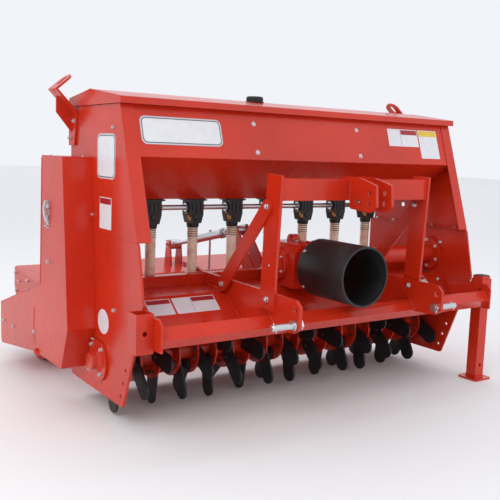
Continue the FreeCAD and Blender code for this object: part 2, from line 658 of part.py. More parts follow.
def hopper_rear():
    """The upright rear panel, with the fixed halves of the lid hinges."""
    panel = block(-PANEL_IN, PANEL_IN, HOPPER_REAR_Y - SHEET_T, HOPPER_REAR_Y, HOPPER_PANEL_Z, HOPPER_TOP_Z)
    hinge_y, hinge_z = LID_HINGE
    rim = HINGE_PIN_R + 2
    below_lid = HOPPER_TOP_Z - 4
    ear_line = [(HOPPER_REAR_Y, hinge_z - 42), (hinge_y + rim, hinge_z - 18), (hinge_y + rim, hinge_z + rim)]
    ear_line += [(hinge_y - rim, hinge_z + rim), (hinge_y - rim, below_lid), (HOPPER_REAR_Y, below_lid)]
    parts = []
    for x in LID_HINGE_X:
        parts.append(prism_x(ear_line, x - 25, x - 19))
        parts.append(prism_x(ear_line, x + 19, x + 25))
        parts.append(rod_x(HINGE_PIN_R, x - 25, x + 25, LID_HINGE))
    return panel.fuse(parts)


def lid_line():
    """The lid's outer profile, from its front return round to its rear return."""
    bottom = HOPPER_TOP_Z + BODY_GAP
    front = [(LID_FRONT_Y + LID_RETURN, bottom), (LID_FRONT_Y, bottom), (LID_FRONT_Y, bottom + LID_SKIRT_H)]
    rear = [(LID_REAR_Y, bottom + LID_REAR_RISE), (LID_REAR_Y, bottom), (LID_REAR_Y - LID_RETURN, bottom)]
    return front + [LID_RIDGE] + rear


def hopper_lid():
    """The hinged lid: a ridged sheet with skirts, end caps and hinge knuckles."""
    line = lid_line()
    sheet = prism_x(folded(line[::-1], LID_T), -LID_HALF, LID_HALF)
    cap_right = prism_x(line[1:-1], LID_HALF - LID_T, LID_HALF)
    cap_left = mirrored(cap_right)
    parts = [cap_right, cap_left]
    hinge_y, hinge_z = LID_HINGE
    for x in LID_HINGE_X:
        arm = block(x - 18, x + 18, LID_REAR_Y - 1, hinge_y, hinge_z - 4, hinge_z + 7)
        parts += [arm, rod_x(7.0, x - 18, x + 18, LID_HINGE)]
    lid = sheet.fuse(parts)
    for x in LID_HINGE_X:
        lid = lid.cut(rod_x(HINGE_PIN_R + RUN_FIT, x - 30, x + 30, LID_HINGE))
    return lid


def lid_cap():
    """The round filler cap on the lid's front slope."""
    cap = rod_z(32.0, LID_RIDGE[1] - 30, LID_RIDGE[1] + 19, -110, 65)
    cap = cap.makeFillet(4.0, [edge for edge in cap.Edges if edge.BoundBox.ZMin > LID_RIDGE[1] + 10
                               and isinstance(edge.Curve, Part.Circle)])
    line = lid_line()
    under = prism_x([(LID_FRONT_Y, 900)] + line[2:5] + [(LID_REAR_Y, 900)], -LID_HALF, LID_HALF)
    return cap.cut(under)


EYE_KNEE = (HALF_WIDTH, HOPPER_TOP_Z - 22.0)
EYE_BEND = (HALF_WIDTH + 76.0, HOPPER_TOP_Z + 56.4)
EYE_WAY = unit((0.0, 0.0), (-60.0, 51.0))
EYE_HALF_W = (EYE_STRAP_Y[1] - EYE_STRAP_Y[0]) / 2
EYE_MID_Y = (EYE_STRAP_Y[1] + EYE_STRAP_Y[0]) / 2
EYE_CENTRE = along(EYE_BEND, EYE_WAY, EYE_TAB_LENGTH - EYE_HALF_W)


def lift_eye():
    """The right lifting strap: a tapered foot, a cranked arm over a gusset, and a slotted tab."""
    y0, y1 = EYE_STRAP_Y
    low_z = HOPPER_TOP_Z - 141
    face = HALF_WIDTH + EYE_STRAP_T
    line = [(HALF_WIDTH, low_z), EYE_KNEE, EYE_BEND, EYE_CENTRE]
    strap = prism_y(folded(line, -EYE_STRAP_T), y0, y1)
    taper = [(y0 - 5, low_z - 5), (y0 - 5, EYE_KNEE[1]), (y0, EYE_KNEE[1]), (y0 + 25, low_z - 5)]
    strap = strap.cut(prism_x(taper, HALF_WIDTH - 1, face + 1))
    normal = Vector(EYE_WAY[1], 0, -EYE_WAY[0])
    centre = Vector(EYE_CENTRE[0], EYE_MID_Y, EYE_CENTRE[1])
    strap = strap.fuse(Part.makeCylinder(EYE_HALF_W, EYE_STRAP_T, centre, normal))
    low, high = [along(EYE_CENTRE, EYE_WAY, distance, 5) for distance in (-EYE_SLOT_REACH, EYE_SLOT_REACH)]
    depth = EYE_STRAP_T + 10
    slot = prism_y(folded([low, high], -depth), EYE_MID_Y - EYE_SLOT_R, EYE_MID_Y + EYE_SLOT_R)
    for x, z in (low, high):
        slot = slot.fuse(Part.makeCylinder(EYE_SLOT_R, depth, Vector(x, EYE_MID_Y, z), normal))
    crown = along(EYE_KNEE, unit(EYE_KNEE, EYE_BEND), 87, -EYE_STRAP_T)
    web = [(face, low_z + 47), (face, EYE_KNEE[1]), crown, (crown[0], crown[1] - 58)]
    web_y = y0 + 0.62 * (y1 - y0)
    return strap.cut(slot).fuse(prism_y(web, web_y, web_y + 6))


# ---------------------------------------------------------------- seed metering
def meter_places():
    """The X place of each seed meter."""
    return [(i - (METER_COUNT - 1) / 2) * METER_PITCH for i in range(METER_COUNT)]


def meter_housing(x):
    """One seed-meter housing under the hopper floor, tapering to its spout."""
    top = HOPPER_FLOOR_Z
    half = METER_HALF
    side = [(x - half - 4, top), (x - half - 4, top - 8), (x - half, top - 10), (x - half, 696)]
    side += [(x - 21, 662), (x - 21, METER_BASE_Z), (x + 21, METER_BASE_Z), (x + 21, 662)]
    side += [(x + half, 696), (x + half, top - 10), (x + half + 4, top - 8), (x + half + 4, top)]
    body = prism_y(side, METER_Y - half, METER_Y + half)
    spout = rod_z(23.0, METER_BASE_Z, 664, x, METER_Y)
    lower = block(x - 50, x + 50, METER_Y - 50, METER_Y + 50, METER_BASE_Z - 1, 662)
    body = body.cut(lower).fuse(spout)
    return body.cut(rod_x(METER_SHAFT_R + RUN_FIT, x - 60, x + 60, (METER_Y, METER_SHAFT_Z))).removeSplitter()


def meter_shaft():
    """The shaft that turns all the meters, from the seed drive to the last meter."""
    return rod_x(METER_SHAFT_R, -HALF_WIDTH - 40, meter_places()[-1] + 50, (METER_Y, METER_SHAFT_Z))


def meter_controls(x):
    """The rate lever and the adjuster cap of one meter."""
    lever = prism_x(bar((METER_Y - 38, 680), (METER_Y - 3, 703), 9), x - METER_HALF - 5, x - METER_HALF)
    lever = lever.cut(rod_x(2.5, x - METER_HALF - 6, x - METER_HALF + 1, (METER_Y - 15, 695.1)))
    cap = rod_x(16.0, x + METER_HALF, x + METER_HALF + 12, (METER_Y, METER_SHAFT_Z))
    return [lever, cap.cut(rod_x(METER_SHAFT_R + 1, x, x + 60, (METER_Y, METER_SHAFT_Z)))]


SLOPE = unit(HOOD_BEND_REAR, HOOD_REAR)
NORMAL = (-SLOPE[1], SLOPE[0])


def tube_corner():
    """Where the upright run of a seed tube meets the run along the hood's slope."""
    start = (HOOD_BEND_REAR[0] + NORMAL[0] * TUBE_STANDOFF, HOOD_BEND_REAR[1] + NORMAL[1] * TUBE_STANDOFF)
    return along(start, SLOPE, (METER_Y - start[0]) / SLOPE[0])


def seed_tube(x):
    """One seed tube: down from the meter, then back along the hood's slope."""
    corner = tube_corner()
    turn = math.acos(-SLOPE[1])
    reach = TUBE_BEND_R * math.tan(turn / 2)
    arc_start = (METER_Y, corner[1] + reach)
    arc_end = along(corner, SLOPE, reach)
    centre = (METER_Y + TUBE_BEND_R, corner[1] + reach)
    middle = (centre[0] - TUBE_BEND_R * math.cos(turn / 2), centre[1] - TUBE_BEND_R * math.sin(turn / 2))
    tail = along(corner, SLOPE, TUBE_TAIL)

    def place(pair):
        return Vector(x, pair[0], pair[1])

    top = Vector(x, METER_Y, METER_BASE_Z)
    arc = Part.Arc(place(arc_start), place(middle), place(arc_end))
    edges = [Part.LineSegment(top, place(arc_start)).toShape(), arc.toShape()]
    edges.append(Part.LineSegment(place(arc_end), place(tail)).toShape())
    path = Part.Wire(edges)
    rings = [Part.Wire(Part.makeCircle(radius, top, Vector(0, 0, -1))) for radius in (TUBE_R, TUBE_BORE_R)]
    outer, inner = [path.makePipeShell([ring], True, True) for ring in rings]
    return outer.cut(inner)


def tube_rail():
    """The upright strip on the hood's slope that carries the seed tubes' lower ends."""
    corner = tube_corner()
    foot = along(corner, SLOPE, RAIL_AT, -TUBE_STANDOFF)
    front = along(foot, SLOPE, -RAIL_T)
    outline = [front, foot, (foot[0] + NORMAL[0] * RAIL_H, foot[1] + NORMAL[1] * RAIL_H)]
    outline.append((front[0] + NORMAL[0] * RAIL_H, front[1] + NORMAL[1] * RAIL_H))
    half = meter_places()[-1] + 50
    rail = prism_x(outline, -half, half)
    middle = along(corner, SLOPE, RAIL_AT - 40)
    for x in meter_places():
        hole = Part.makeCylinder(TUBE_R + 0.3, 80, Vector(x, *middle), Vector(0, SLOPE[0], SLOPE[1]))
        rail = rail.cut(hole)
    return rail


# ---------------------------------------------------------------- seed drive cover
def cover_outline():
    """The cover's side view: a tall column with a long tail back to the roller."""
    tail = [(139, 135), (392, 140), (820, 79), (821, 262)]
    return tail + [(310, 419), (291, 904), (84, 904), (60, 649), (29, 302)]


def cover_solid(inset):
    """The cover's outer shape, or its hollow when inset by the sheet thickness."""
    shape = prism_x(offset_loop(cover_outline(), inset), -COVER_X + inset, -HALF_WIDTH)
    crease = [(26.0, 300.0), (809.0, 107.0)]
    way = unit(crease[0], crease[1])
    corners = []
    for out, down in ((inset, -inset), (-60.0, -inset), (-60.0, 260.0), (inset + COVER_TUCK * 1.4, 260.0)):
        y, z = along(crease[0], way, -200, -down)
        corners.append(Vector(-COVER_X + out, y, z))
    wedge = Part.Face(Part.makePolygon(corners + corners[:1]))
    wedge = wedge.extrude(Vector(0, way[0] * 1300, way[1] * 1300))
    return shape.cut(wedge)


def seed_drive_cover():
    """The pressed cover over the seed drive, open towards the machine."""
    return cover_solid(0.0).cut(cover_solid(SHEET_T))


def latch_toggle():
    """The cover's toggle latch: a base plate with two cheeks, a pivot and a curved lever."""
    face = -COVER_X
    plate = block(face, face - LATCH_PLATE_T, LATCH_Y - 17, LATCH_Y + 17, LATCH_Z - 39, LATCH_Z + 39)
    low, high = LATCH_Z - 13, LATCH_Z + 13
    cheeks = [block(face, face - 14, y - 1.2, y + 1.2, low, high) for y in (LATCH_Y - 12, LATCH_Y + 12)]
    pivot = rod_y(LATCH_PIVOT_R, LATCH_Y - 15, LATCH_Y + 15, face - 9, LATCH_Z)
    curve = [(6, 39), (10, 39), (17, 13), (14, -17), (8, -35), (4, -33), (10, -13), (12, 11)]
    half = LATCH_LEVER_W / 2
    lever = prism_y([(face - out, LATCH_Z + up) for out, up in curve], LATCH_Y - half, LATCH_Y + half)
    return plate.fuse(cheeks + [pivot, lever])


def latch_keeper():
    """The hooked plate under the toggle latch."""
    face = -COVER_X
    low = LATCH_Z - 61
    plate = block(face, face - LATCH_PLATE_T, LATCH_Y - 13, LATCH_Y + 13, low, low + 20)
    hook = [(face, low + 13), (face - 10, low + 10), (face - 10, low + 6), (face, low + 4)]
    return plate.fuse(prism_y(hook, LATCH_Y - 12, LATCH_Y + 12))


# ---------------------------------------------------------------- levelling flap
def levelling_flap():
    """The hanging board behind the rotor, on a hinge tube with a stub at each end."""
    y, z = FLAP_HINGE
    board = block(-FLAP_HALF, FLAP_HALF, y - FLAP_T / 2, y + FLAP_T / 2, FLAP_BOTTOM_Z, z)
    tube = rod_x(FLAP_TUBE_R, -FLAP_HALF, FLAP_HALF, FLAP_HINGE)
    stub = rod_x(FLAP_STUB_R, -HALF_WIDTH, HALF_WIDTH, FLAP_HINGE)
    lip = rod_x(8.0, -FLAP_HALF, FLAP_HALF, (y, FLAP_BOTTOM_Z + 8))
    return board.fuse([tube, stub, lip])


# ---------------------------------------------------------------- roller
def roller_arm():
    """The right roller arm, from its pivot in the side plate back round the roller's end."""
    py, pz = ROLLER_PIVOT
    ry, rz = ROLLER_HOOD_REAR
    fy, fz = ROLLER_HOOD_FRONT
    outline = [(py - 30, pz + 30), (py - 30, pz - 30), (ROLLER_Y - 190, ROLLER_R + 55)]
    outline += [(ROLLER_Y - 60, ROLLER_R - 45), (ROLLER_Y + 60, ROLLER_R - 45), (ry - 17, rz - 134)]
    outline += [(ry + 5, rz - 90), (ry, rz), (fy, fz), (ROLLER_Y - 190, fz + 10), (py + 30, pz + 32)]
    arm = prism_x(outline, ROLLER_ARM_IN, ROLLER_ARM_OUT)
    arm = rounded(arm, 12.0, Vector(1, 0, 0))
    arm = arm.cut(rod_x(ROLLER_STUB_R + RUN_FIT, ROLLER_ARM_IN - 1, ROLLER_ARM_OUT + 1, (ROLLER_Y, ROLLER_R)))
    boss = rod_x(25.0, ROLLER_ARM_OUT, PLATE_IN - BODY_GAP, ROLLER_PIVOT)
    pin = rod_x(ROLLER_PIVOT_R, ROLLER_ARM_OUT, HALF_WIDTH + BODY_GAP, ROLLER_PIVOT)
    head = rod_x(23.0, HALF_WIDTH + BODY_GAP, HALF_WIDTH + 9, ROLLER_PIVOT)
    return arm.fuse([boss, pin, head])


def roller_hood():
    """The folded panel over the roller, between its arms."""
    rear = ROLLER_HOOD_REAR
    front = ROLLER_HOOD_FRONT
    line = [(rear[0], rear[1] - ROLLER_HOOD_DROP), rear, front, (front[0] - 16, front[1] - 14)]
    return prism_x(folded(line, 4.0), -ROLLER_ARM_IN, ROLLER_ARM_IN)


def roller_hood_height(y):
    """Height of the roller hood's top face."""
    (y0, z0), (y1, z1) = ROLLER_HOOD_FRONT, ROLLER_HOOD_REAR
    return z0 + (y - y0) * (z1 - z0) / (y1 - y0)


def roller_post():
    """The two-cheeked post on the roller hood, with the pin for the turnbuckle's rear eye."""
    y, z = TURN_REAR
    outline = [(y - 34, roller_hood_height(y - 34)), (y + 34, roller_hood_height(y + 34)), (y + 18, z + 20)]
    outline += [(y - 18, z + 20)]
    inner = EYE_HALF + 1
    cheek = prism_x(outline, inner, inner + LUG_T)
    pin = rod_x(TURN_PIN_R, -inner - LUG_T - 8, inner + LUG_T + 8, TURN_REAR)
    return cheek.fuse([mirrored(cheek), pin])


def roller_drum():
    """The rear roller: a tube with recessed end discs and stub axles."""
    axis = (ROLLER_Y, ROLLER_R)
    shell = rod_x(ROLLER_R, -ROLLER_HALF, ROLLER_HALF, axis)
    shell = shell.cut(rod_x(ROLLER_R - ROLLER_WALL, -ROLLER_HALF, ROLLER_HALF, axis))
    disc = rod_x(ROLLER_R - ROLLER_WALL, ROLLER_HALF - 26, ROLLER_HALF - 18, axis)
    for turn in range(3):
        angle = math.radians(120 * turn + 30)
        at = (axis[0] + 95 * math.cos(angle), axis[1] + 95 * math.sin(angle))
        disc = disc.cut(rod_x(22.0, ROLLER_HALF - 30, ROLLER_HALF, at))
    axle = rod_x(ROLLER_STUB_R, -ROLLER_ARM_OUT - 6, ROLLER_ARM_OUT + 6, axis)
    return shell.fuse([disc, mirrored(disc), axle])


# ---------------------------------------------------------------- depth turnbuckle
LINK = unit(TURN_FRONT, TURN_REAR)
LINK_LENGTH = math.hypot(TURN_REAR[0] - TURN_FRONT[0], TURN_REAR[1] - TURN_FRONT[1])


def link_rod(radius, start, end):
    """A cylinder along the turnbuckle, between two distances from its front eye."""
    y, z = along(TURN_FRONT, LINK, start)
    return Part.makeCylinder(radius, end - start, Vector(0, y, z), Vector(0, LINK[0], LINK[1]))


def turnbuckle_bracket():
    """The two cheeks on the rotor hood that carry the turnbuckle's front eye."""
    y, z = TURN_FRONT
    outline = [(96, hood_height(96)), (152, hood_height(152)), (y + 26, z - 14), (y + 20, z + 20)]
    outline += [(y - 16, z + 26), (y - 34, z + 6)]
    inner = EYE_HALF + 1
    cheek = prism_x(outline, inner, inner + LUG_T)
    pin = rod_x(TURN_PIN_R, -inner - LUG_T - 8, inner + LUG_T + 8, TURN_FRONT)
    return cheek.fuse([mirrored(cheek), pin])


def turnbuckle_barrel():
    """The front eye, the barrel and its hanging tommy bar."""
    low, high = TURN_BARREL
    eye = rod_x(EYE_R, -EYE_HALF, EYE_HALF, TURN_FRONT)
    parts = [link_rod(TURN_ROD_R, 10, low + 5), link_rod(TURN_BARREL_R, low, high)]
    parts += [link_rod(TURN_BARREL_R + 4, low + 14, low + 34)]
    middle = along(TURN_FRONT, LINK, (low + high) / 2)
    parts.append(rod_z(5.0, middle[1] - 180, middle[1] + 30, 0, middle[0]))
    barrel = eye.fuse(parts)
    barrel = barrel.cut(rod_x(TURN_PIN_R + RUN_FIT, -EYE_HALF - 1, EYE_HALF + 1, TURN_FRONT))
    return barrel.cut(link_rod(TURN_ROD_R + RUN_FIT, (low + high) / 2 + 12, high + 1))


def turnbuckle_rod():
    """The rear screw rod and its eye."""
    start = (TURN_BARREL[0] + TURN_BARREL[1]) / 2 + 70
    eye = rod_x(EYE_R, -EYE_HALF, EYE_HALF, TURN_REAR)
    rod = link_rod(TURN_ROD_R, start, LINK_LENGTH - 10)
    return eye.fuse(rod).cut(rod_x(TURN_PIN_R + TURN_DRIFT, -EYE_HALF - 1, EYE_HALF + 1, TURN_REAR))


# ---------------------------------------------------------------- assembly and export
def assembly():
    """Every node's name and its solids."""
    nodes = {
        "side_plate_left": [side_plate(-1)],
        "side_plate_right": [side_plate(1)],
        "rotor_hood": [hood()],
        "rear_cross_member": [rear_cross_member()],
        "front_beam": [front_beam()],
        "end_brackets": both(end_bracket()),
        "leg_sockets": both(leg_socket()),
        "parking_leg": [parking_leg()],
        "leg_pin": [leg_pin()],
        "hitch_arm_right": [hitch_arm()],
        "hitch_arm_left": [mirrored(hitch_arm())],
        "hitch_pins": both(hitch_pin()),
        "mast_posts": both(mast_post()),
        "mast_braces": both(mast_brace()),
        "mast_crossbar": [mast_crossbar()],
        "top_link_clevis": both(top_link_cheek()),
        "gearbox": [gearbox()],
        "input_shaft": [input_shaft()],
        "pto_shield": [pto_shield()],
        "cross_tube": [cross_tube()],
        "side_drive_case": [side_drive_case()],
        "rotor_shaft": [rotor_shaft()],
        "rotor_discs": [rotor_disc(x) for x in disc_places()],
        "rotor_blades": rotor_blades(),
        "rotor_bearing": [rotor_bearing()],
        "hopper_end_left": [hopper_end(-1)],
        "hopper_end_right": [hopper_end(1)],
        "hopper_front": [hopper_front()],
        "hopper_rear": [hopper_rear()],
        "hopper_trough": [hopper_trough()],
        "hopper_lid": [hopper_lid()],
        "lid_cap": [lid_cap()],
        "lift_eyes": both(lift_eye()),
        "seed_meters": [meter_housing(x) for x in meter_places()],
        "meter_controls": [piece for x in meter_places() for piece in meter_controls(x)],
        "meter_shaft": [meter_shaft()],
        "seed_tubes": [seed_tube(x) for x in meter_places()],
        "tube_rail": [tube_rail()],
        "seed_drive_cover": [seed_drive_cover()],
        "cover_latch": [latch_toggle(), latch_keeper()],
        "levelling_flap": [levelling_flap()],
        "roller_frame": both(roller_arm()),
        "roller_hood": [roller_hood()],
        "roller_post": [roller_post()],
        "roller_drum": [roller_drum()],
        "turnbuckle_bracket": [turnbuckle_bracket()],
        "turnbuckle_barrel": [turnbuckle_barrel()],
        "turnbuckle_rod": [turnbuckle_rod()],
    }
    return nodes


def origin_shift(nodes):
    """The move that puts the origin on the floor at the centre of the footprint."""
    bounds = Part.makeCompound([solid for solids in nodes.values() for solid in solids]).BoundBox
    print("size_mm %.1f %.1f %.1f" % (bounds.XLength, bounds.YLength, bounds.ZLength))
    return Vector(-(bounds.XMin + bounds.XMax) / 2, -(bounds.YMin + bounds.YMax) / 2, -bounds.ZMin)


def main():
    """Build every node, place it in the final frame and write the STEP files."""
    os.makedirs("parts", exist_ok=True)
    nodes = assembly()
    shift = origin_shift(nodes)
    print("shift_mm %.4f %.4f %.4f" % (shift.x, shift.y, shift.z))
    for name, solids in nodes.items():
        pieces = []
        for solid in solids:
            moved = solid.copy()
            moved.translate(shift)
            pieces += moved.Solids
        shape = pieces[0] if len(pieces) == 1 else Part.makeCompound(pieces)
        facts = (name, len(pieces), shape.Volume / 1000, shape.isValid())
        print("%-20s %2d solids  %9.1f cm3  valid %s" % facts)
        shape.exportStep(os.path.join("parts", name + ".step"))


main()
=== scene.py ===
"""Looks of the rotary-tiller seed drill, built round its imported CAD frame."""
import json
import random
from math import acos, atan2, cos, degrees, pi, radians, sin, tan

import bmesh
import bpy
from mathutils import Matrix, Vector


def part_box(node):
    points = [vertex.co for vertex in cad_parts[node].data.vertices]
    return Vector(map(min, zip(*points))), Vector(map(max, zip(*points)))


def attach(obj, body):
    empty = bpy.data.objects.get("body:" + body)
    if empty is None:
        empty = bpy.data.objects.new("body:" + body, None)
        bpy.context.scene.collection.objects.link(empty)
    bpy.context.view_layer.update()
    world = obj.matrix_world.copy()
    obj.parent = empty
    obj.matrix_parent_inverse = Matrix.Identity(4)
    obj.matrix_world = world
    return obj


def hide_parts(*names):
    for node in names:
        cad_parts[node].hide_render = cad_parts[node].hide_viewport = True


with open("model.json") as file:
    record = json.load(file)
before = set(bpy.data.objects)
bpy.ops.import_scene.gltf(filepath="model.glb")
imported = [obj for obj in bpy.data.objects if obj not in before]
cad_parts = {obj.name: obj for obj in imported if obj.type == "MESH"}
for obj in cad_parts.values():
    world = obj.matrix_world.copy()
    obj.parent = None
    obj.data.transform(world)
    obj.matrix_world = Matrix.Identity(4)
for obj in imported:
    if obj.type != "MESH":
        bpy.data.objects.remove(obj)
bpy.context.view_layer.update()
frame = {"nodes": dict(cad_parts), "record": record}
random.seed(7)
scene = bpy.context.scene

# ---------------- places, in millimetres
# The machine's own axes: X = 0 at the hitch centre, Y = 0 at the rotor axis, Z = 0 on the floor.
JOINTS = {joint["name"]: joint for joint in frame["record"]["behaviour"]["joints"]}
ROTOR = Vector(JOINTS["rotor_spin"]["pos_m"])
X_WAY, Y_WAY, Z_WAY = Vector((1, 0, 0)), Vector((0, 1, 0)), Vector((0, 0, 1))
SIDES = [(side, X_WAY * side) for side in (-1, 1)]      # left and right, with the way out


def at(x, y, z):
    """A point in the machine's millimetres, as metres in the frame."""
    return Vector((ROTOR.x + x / 1000, ROTOR.y + y / 1000, z / 1000))


def span(node, axis):
    """A CAD node's lowest and highest value along an axis, in the machine's millimetres."""
    low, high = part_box(node)
    origin = (ROTOR.x, ROTOR.y, 0.0)[axis]
    return (low[axis] - origin) * 1000, (high[axis] - origin) * 1000


def joint_at(name):
    """A joint's place in the machine's millimetres, as (y, z)."""
    place = JOINTS[name]["pos_m"]
    return (place[1] - ROTOR.y) * 1000, place[2] * 1000


HALF_WIDTH = span("side_plate_right", 0)[1]
PLATE_IN = span("side_plate_right", 0)[0]
COVER_X = span("seed_drive_cover", 0)[0]
ARM_IN, ARM_OUT = span("hitch_arm_right", 0)
POST_OUT = span("mast_posts", 0)[1]
BRACE_OUT = span("mast_braces", 0)[1]
PANEL_TOP_Z = span("hopper_front", 2)[1]
LID_FRONT_Y, LID_REAR_Y = span("hopper_lid", 1)
METER_BASE_Z = span("seed_meters", 2)[0]
METER_COUNT, METER_PITCH = 7, 181.0
METER_X = [(i - (METER_COUNT - 1) / 2) * METER_PITCH for i in range(METER_COUNT)]
DRIVE_Z = joint_at("input_spin")[1]
METER_Y, METER_SHAFT_Z = joint_at("meter_spin")
ROTOR_Z = joint_at("rotor_spin")[1]
ROLLER_Y, ROLLER_R = joint_at("roller_spin")
FLAP_Y, FLAP_Z = joint_at("flap_hinge")
HINGE_Y, HINGE_Z = joint_at("lid_hinge")
PIVOT_Y, PIVOT_Z = joint_at("roller_frame_pivot")
TURN_FRONT = joint_at("turnbuckle_tilt")
TURN_REAR = (901.0, 466.0)
GEARBOX_Y = -90.0
SHAFT_TIP_Y = span("input_shaft", 1)[0]
GEARBOX_HUB_Y = SHAFT_TIP_Y + 110
SHIELD_FRONT_Y, SHIELD_REAR_Y = span("pto_shield", 1)
REAR_PANEL_Y = 278.0                # the hopper back's outer face
HOOD_LINE = [(-270.0, 309.0), (-116.0, 428.0), (64.0, 432.0), (190.0, 326.0)]
CROSS_TOP_Z = 472.0
BEAM_Y, BEAM_Z, BEAM_HALF = -407.0, 360.0, 35.36
BRACE_TOP, BRACE_BOTTOM = (-392.0, 762.0), (-128.0, 457.0)
LEAN = atan2(143.0, 441.6)     # the hopper front's lean from upright
FRONT_NORMAL = Vector((0, -cos(LEAN), sin(LEAN)))
FRONT_UP = Vector((0, sin(LEAN), cos(LEAN)))
# A seed tube runs down to its corner, then along the hood's rear slope to the tube rail.
TUBE_BEND_R, TUBE_STANDOFF, TUBE_TAIL = 110.0, 32, 190.0
RAIL_AT, RAIL_BOLT_UP = 115, 36
SLOPE_WAY = Vector((0, HOOD_LINE[3][0] - HOOD_LINE[2][0], HOOD_LINE[3][1] - HOOD_LINE[2][1])).normalized()
SLOPE_OUT = Vector((0, -SLOPE_WAY.z, SLOPE_WAY.y))
TUBE_START = Vector((0, *HOOD_LINE[2])) + SLOPE_OUT * TUBE_STANDOFF
TUBE_CORNER = TUBE_START + SLOPE_WAY * ((METER_Y - TUBE_START.y) / SLOPE_WAY.y)


def front_y(z):
    """Y of the hopper front panel's outer face at a height."""
    return -147.0 + 3.0 / cos(LEAN) - (PANEL_TOP_Z - z) * tan(LEAN)


def hood_z(y):
    """Height of the hood's top face."""
    for (y0, z0), (y1, z1) in zip(HOOD_LINE, HOOD_LINE[1:]):
        if y <= y1:
            return z0 + (y - y0) * (z1 - z0) / (y1 - y0)
    return HOOD_LINE[-1][1]


# ---------------- camera, floor and lights
CAMERA_PLACE = (-1820.0, -2420.0, 941.0)
CAMERA_YAW, CAMERA_PITCH, CAMERA_ROLL = 34.58, -7.44, 2.02
CAMERA_LENS, SENSOR_WIDTH = 54.0, 36.0
LIGHT_TARGET = (0, 0, 0.6)
WORLD_COLOUR, WORLD_STRENGTH = (0.93, 0.95, 1.0, 1), 0.95


def make_camera():
    """A camera at the photograph's angle."""
    yaw, pitch, roll = (radians(angle) for angle in (CAMERA_YAW, CAMERA_PITCH, CAMERA_ROLL))
    ahead = Vector((sin(yaw) * cos(pitch), cos(yaw) * cos(pitch), sin(pitch)))
    level = ahead.cross(Z_WAY).normalized()
    above = level.cross(ahead)
    right = level * cos(roll) + above * sin(roll)
    up = above * cos(roll) - level * sin(roll)
    data = bpy.data.cameras.new("camera")
    data.lens = CAMERA_LENS
    data.sensor_width = SENSOR_WIDTH
    data.clip_end = 100.0
    camera = bpy.data.objects.new("camera", data)
    turned = Matrix((right, up, -ahead)).transposed().to_4x4()
    camera.matrix_world = Matrix.Translation(at(*CAMERA_PLACE)) @ turned
    scene.collection.objects.link(camera)
    scene.camera = camera


def area_light(name, place, size, power, colour=(1, 1, 1)):
    """A soft square light that faces the machine's middle."""
    data = bpy.data.lights.new(name, "AREA")
    data.shape = "SQUARE"
    data.size = size
    data.energy = power
    data.color = colour
    light = bpy.data.objects.new(name, data)
    light.location = place
    light.rotation_mode = "QUATERNION"
    light.rotation_quaternion = (Vector(LIGHT_TARGET) - Vector(place)).to_track_quat("-Z", "Y")
    scene.collection.objects.link(light)


def make_stage():
    """A pale floor, an even bright surround and three soft lights."""
    bpy.ops.mesh.primitive_plane_add(size=60, location=(0, 0, 0))
    floor = bpy.context.object
    floor.name = "floor"
    material, nodes, links, shader = new_material("floor_pale")
    noise = add(nodes, "ShaderNodeTexNoise", Scale=1.5, Detail=3)
    blend_colours(nodes, links, noise.outputs["Fac"], (0.86, 0.86, 0.86), (0.90, 0.90, 0.90), shader)
    shader.inputs["Roughness"].default_value = 0.75
    floor.data.materials.append(material)
    world = bpy.data.worlds.new("surround")
    world.use_nodes = True
    surround = world.node_tree.nodes["Background"].inputs
    surround["Color"].default_value = WORLD_COLOUR
    surround["Strength"].default_value = WORLD_STRENGTH
    scene.world = world
    area_light("key", (-3.6, -2.2, 3.6), 2.6, 62, (1.0, 0.97, 0.93))
    area_light("fill", (2.6, -3.8, 2.2), 3.0, 14)
    area_light("top", (0.3, 1.6, 4.2), 3.0, 26)
    scene.view_settings.view_transform = "Standard"
    scene.view_settings.look = "None"


# ---------------- materials
MATERIALS = {}


def new_material(name):
    """A node material and its principled shader."""
    material = bpy.data.materials.new(name)
    material.use_nodes = True
    nodes = material.node_tree.nodes
    return material, nodes, material.node_tree.links, nodes["Principled BSDF"]


def add(nodes, kind, **values):
    """A shader node with some inputs set by name."""
    node = nodes.new(kind)
    for key, value in values.items():
        node.inputs[key].default_value = value
    return node


def blend_colours(nodes, links, factor, dark, light, shader, low=0.35, high=0.65):
    """Drives the base colour between two colours by a factor."""
    ramp = nodes.new("ShaderNodeValToRGB")
    for stop, position, colour in zip(ramp.color_ramp.elements, (low, high), (dark, light)):
        stop.position = position
        stop.color = (*colour, 1)
    links.new(factor, ramp.inputs["Fac"])
    links.new(ramp.outputs["Color"], shader.inputs["Base Color"])


def cloud(nodes, links, scale, detail, roughness=0.5, stretch=(1, 1, 1)):
    """The output of a noise texture laid on the piece's own coordinates."""
    noise = add(nodes, "ShaderNodeTexNoise", Scale=scale, Detail=detail, Roughness=roughness)
    coords = nodes.new("ShaderNodeTexCoord")
    mapping = add(nodes, "ShaderNodeMapping", Scale=stretch)
    links.new(coords.outputs["Object"], mapping.inputs["Vector"])
    links.new(mapping.outputs["Vector"], noise.inputs["Vector"])
    return noise.outputs["Fac"]


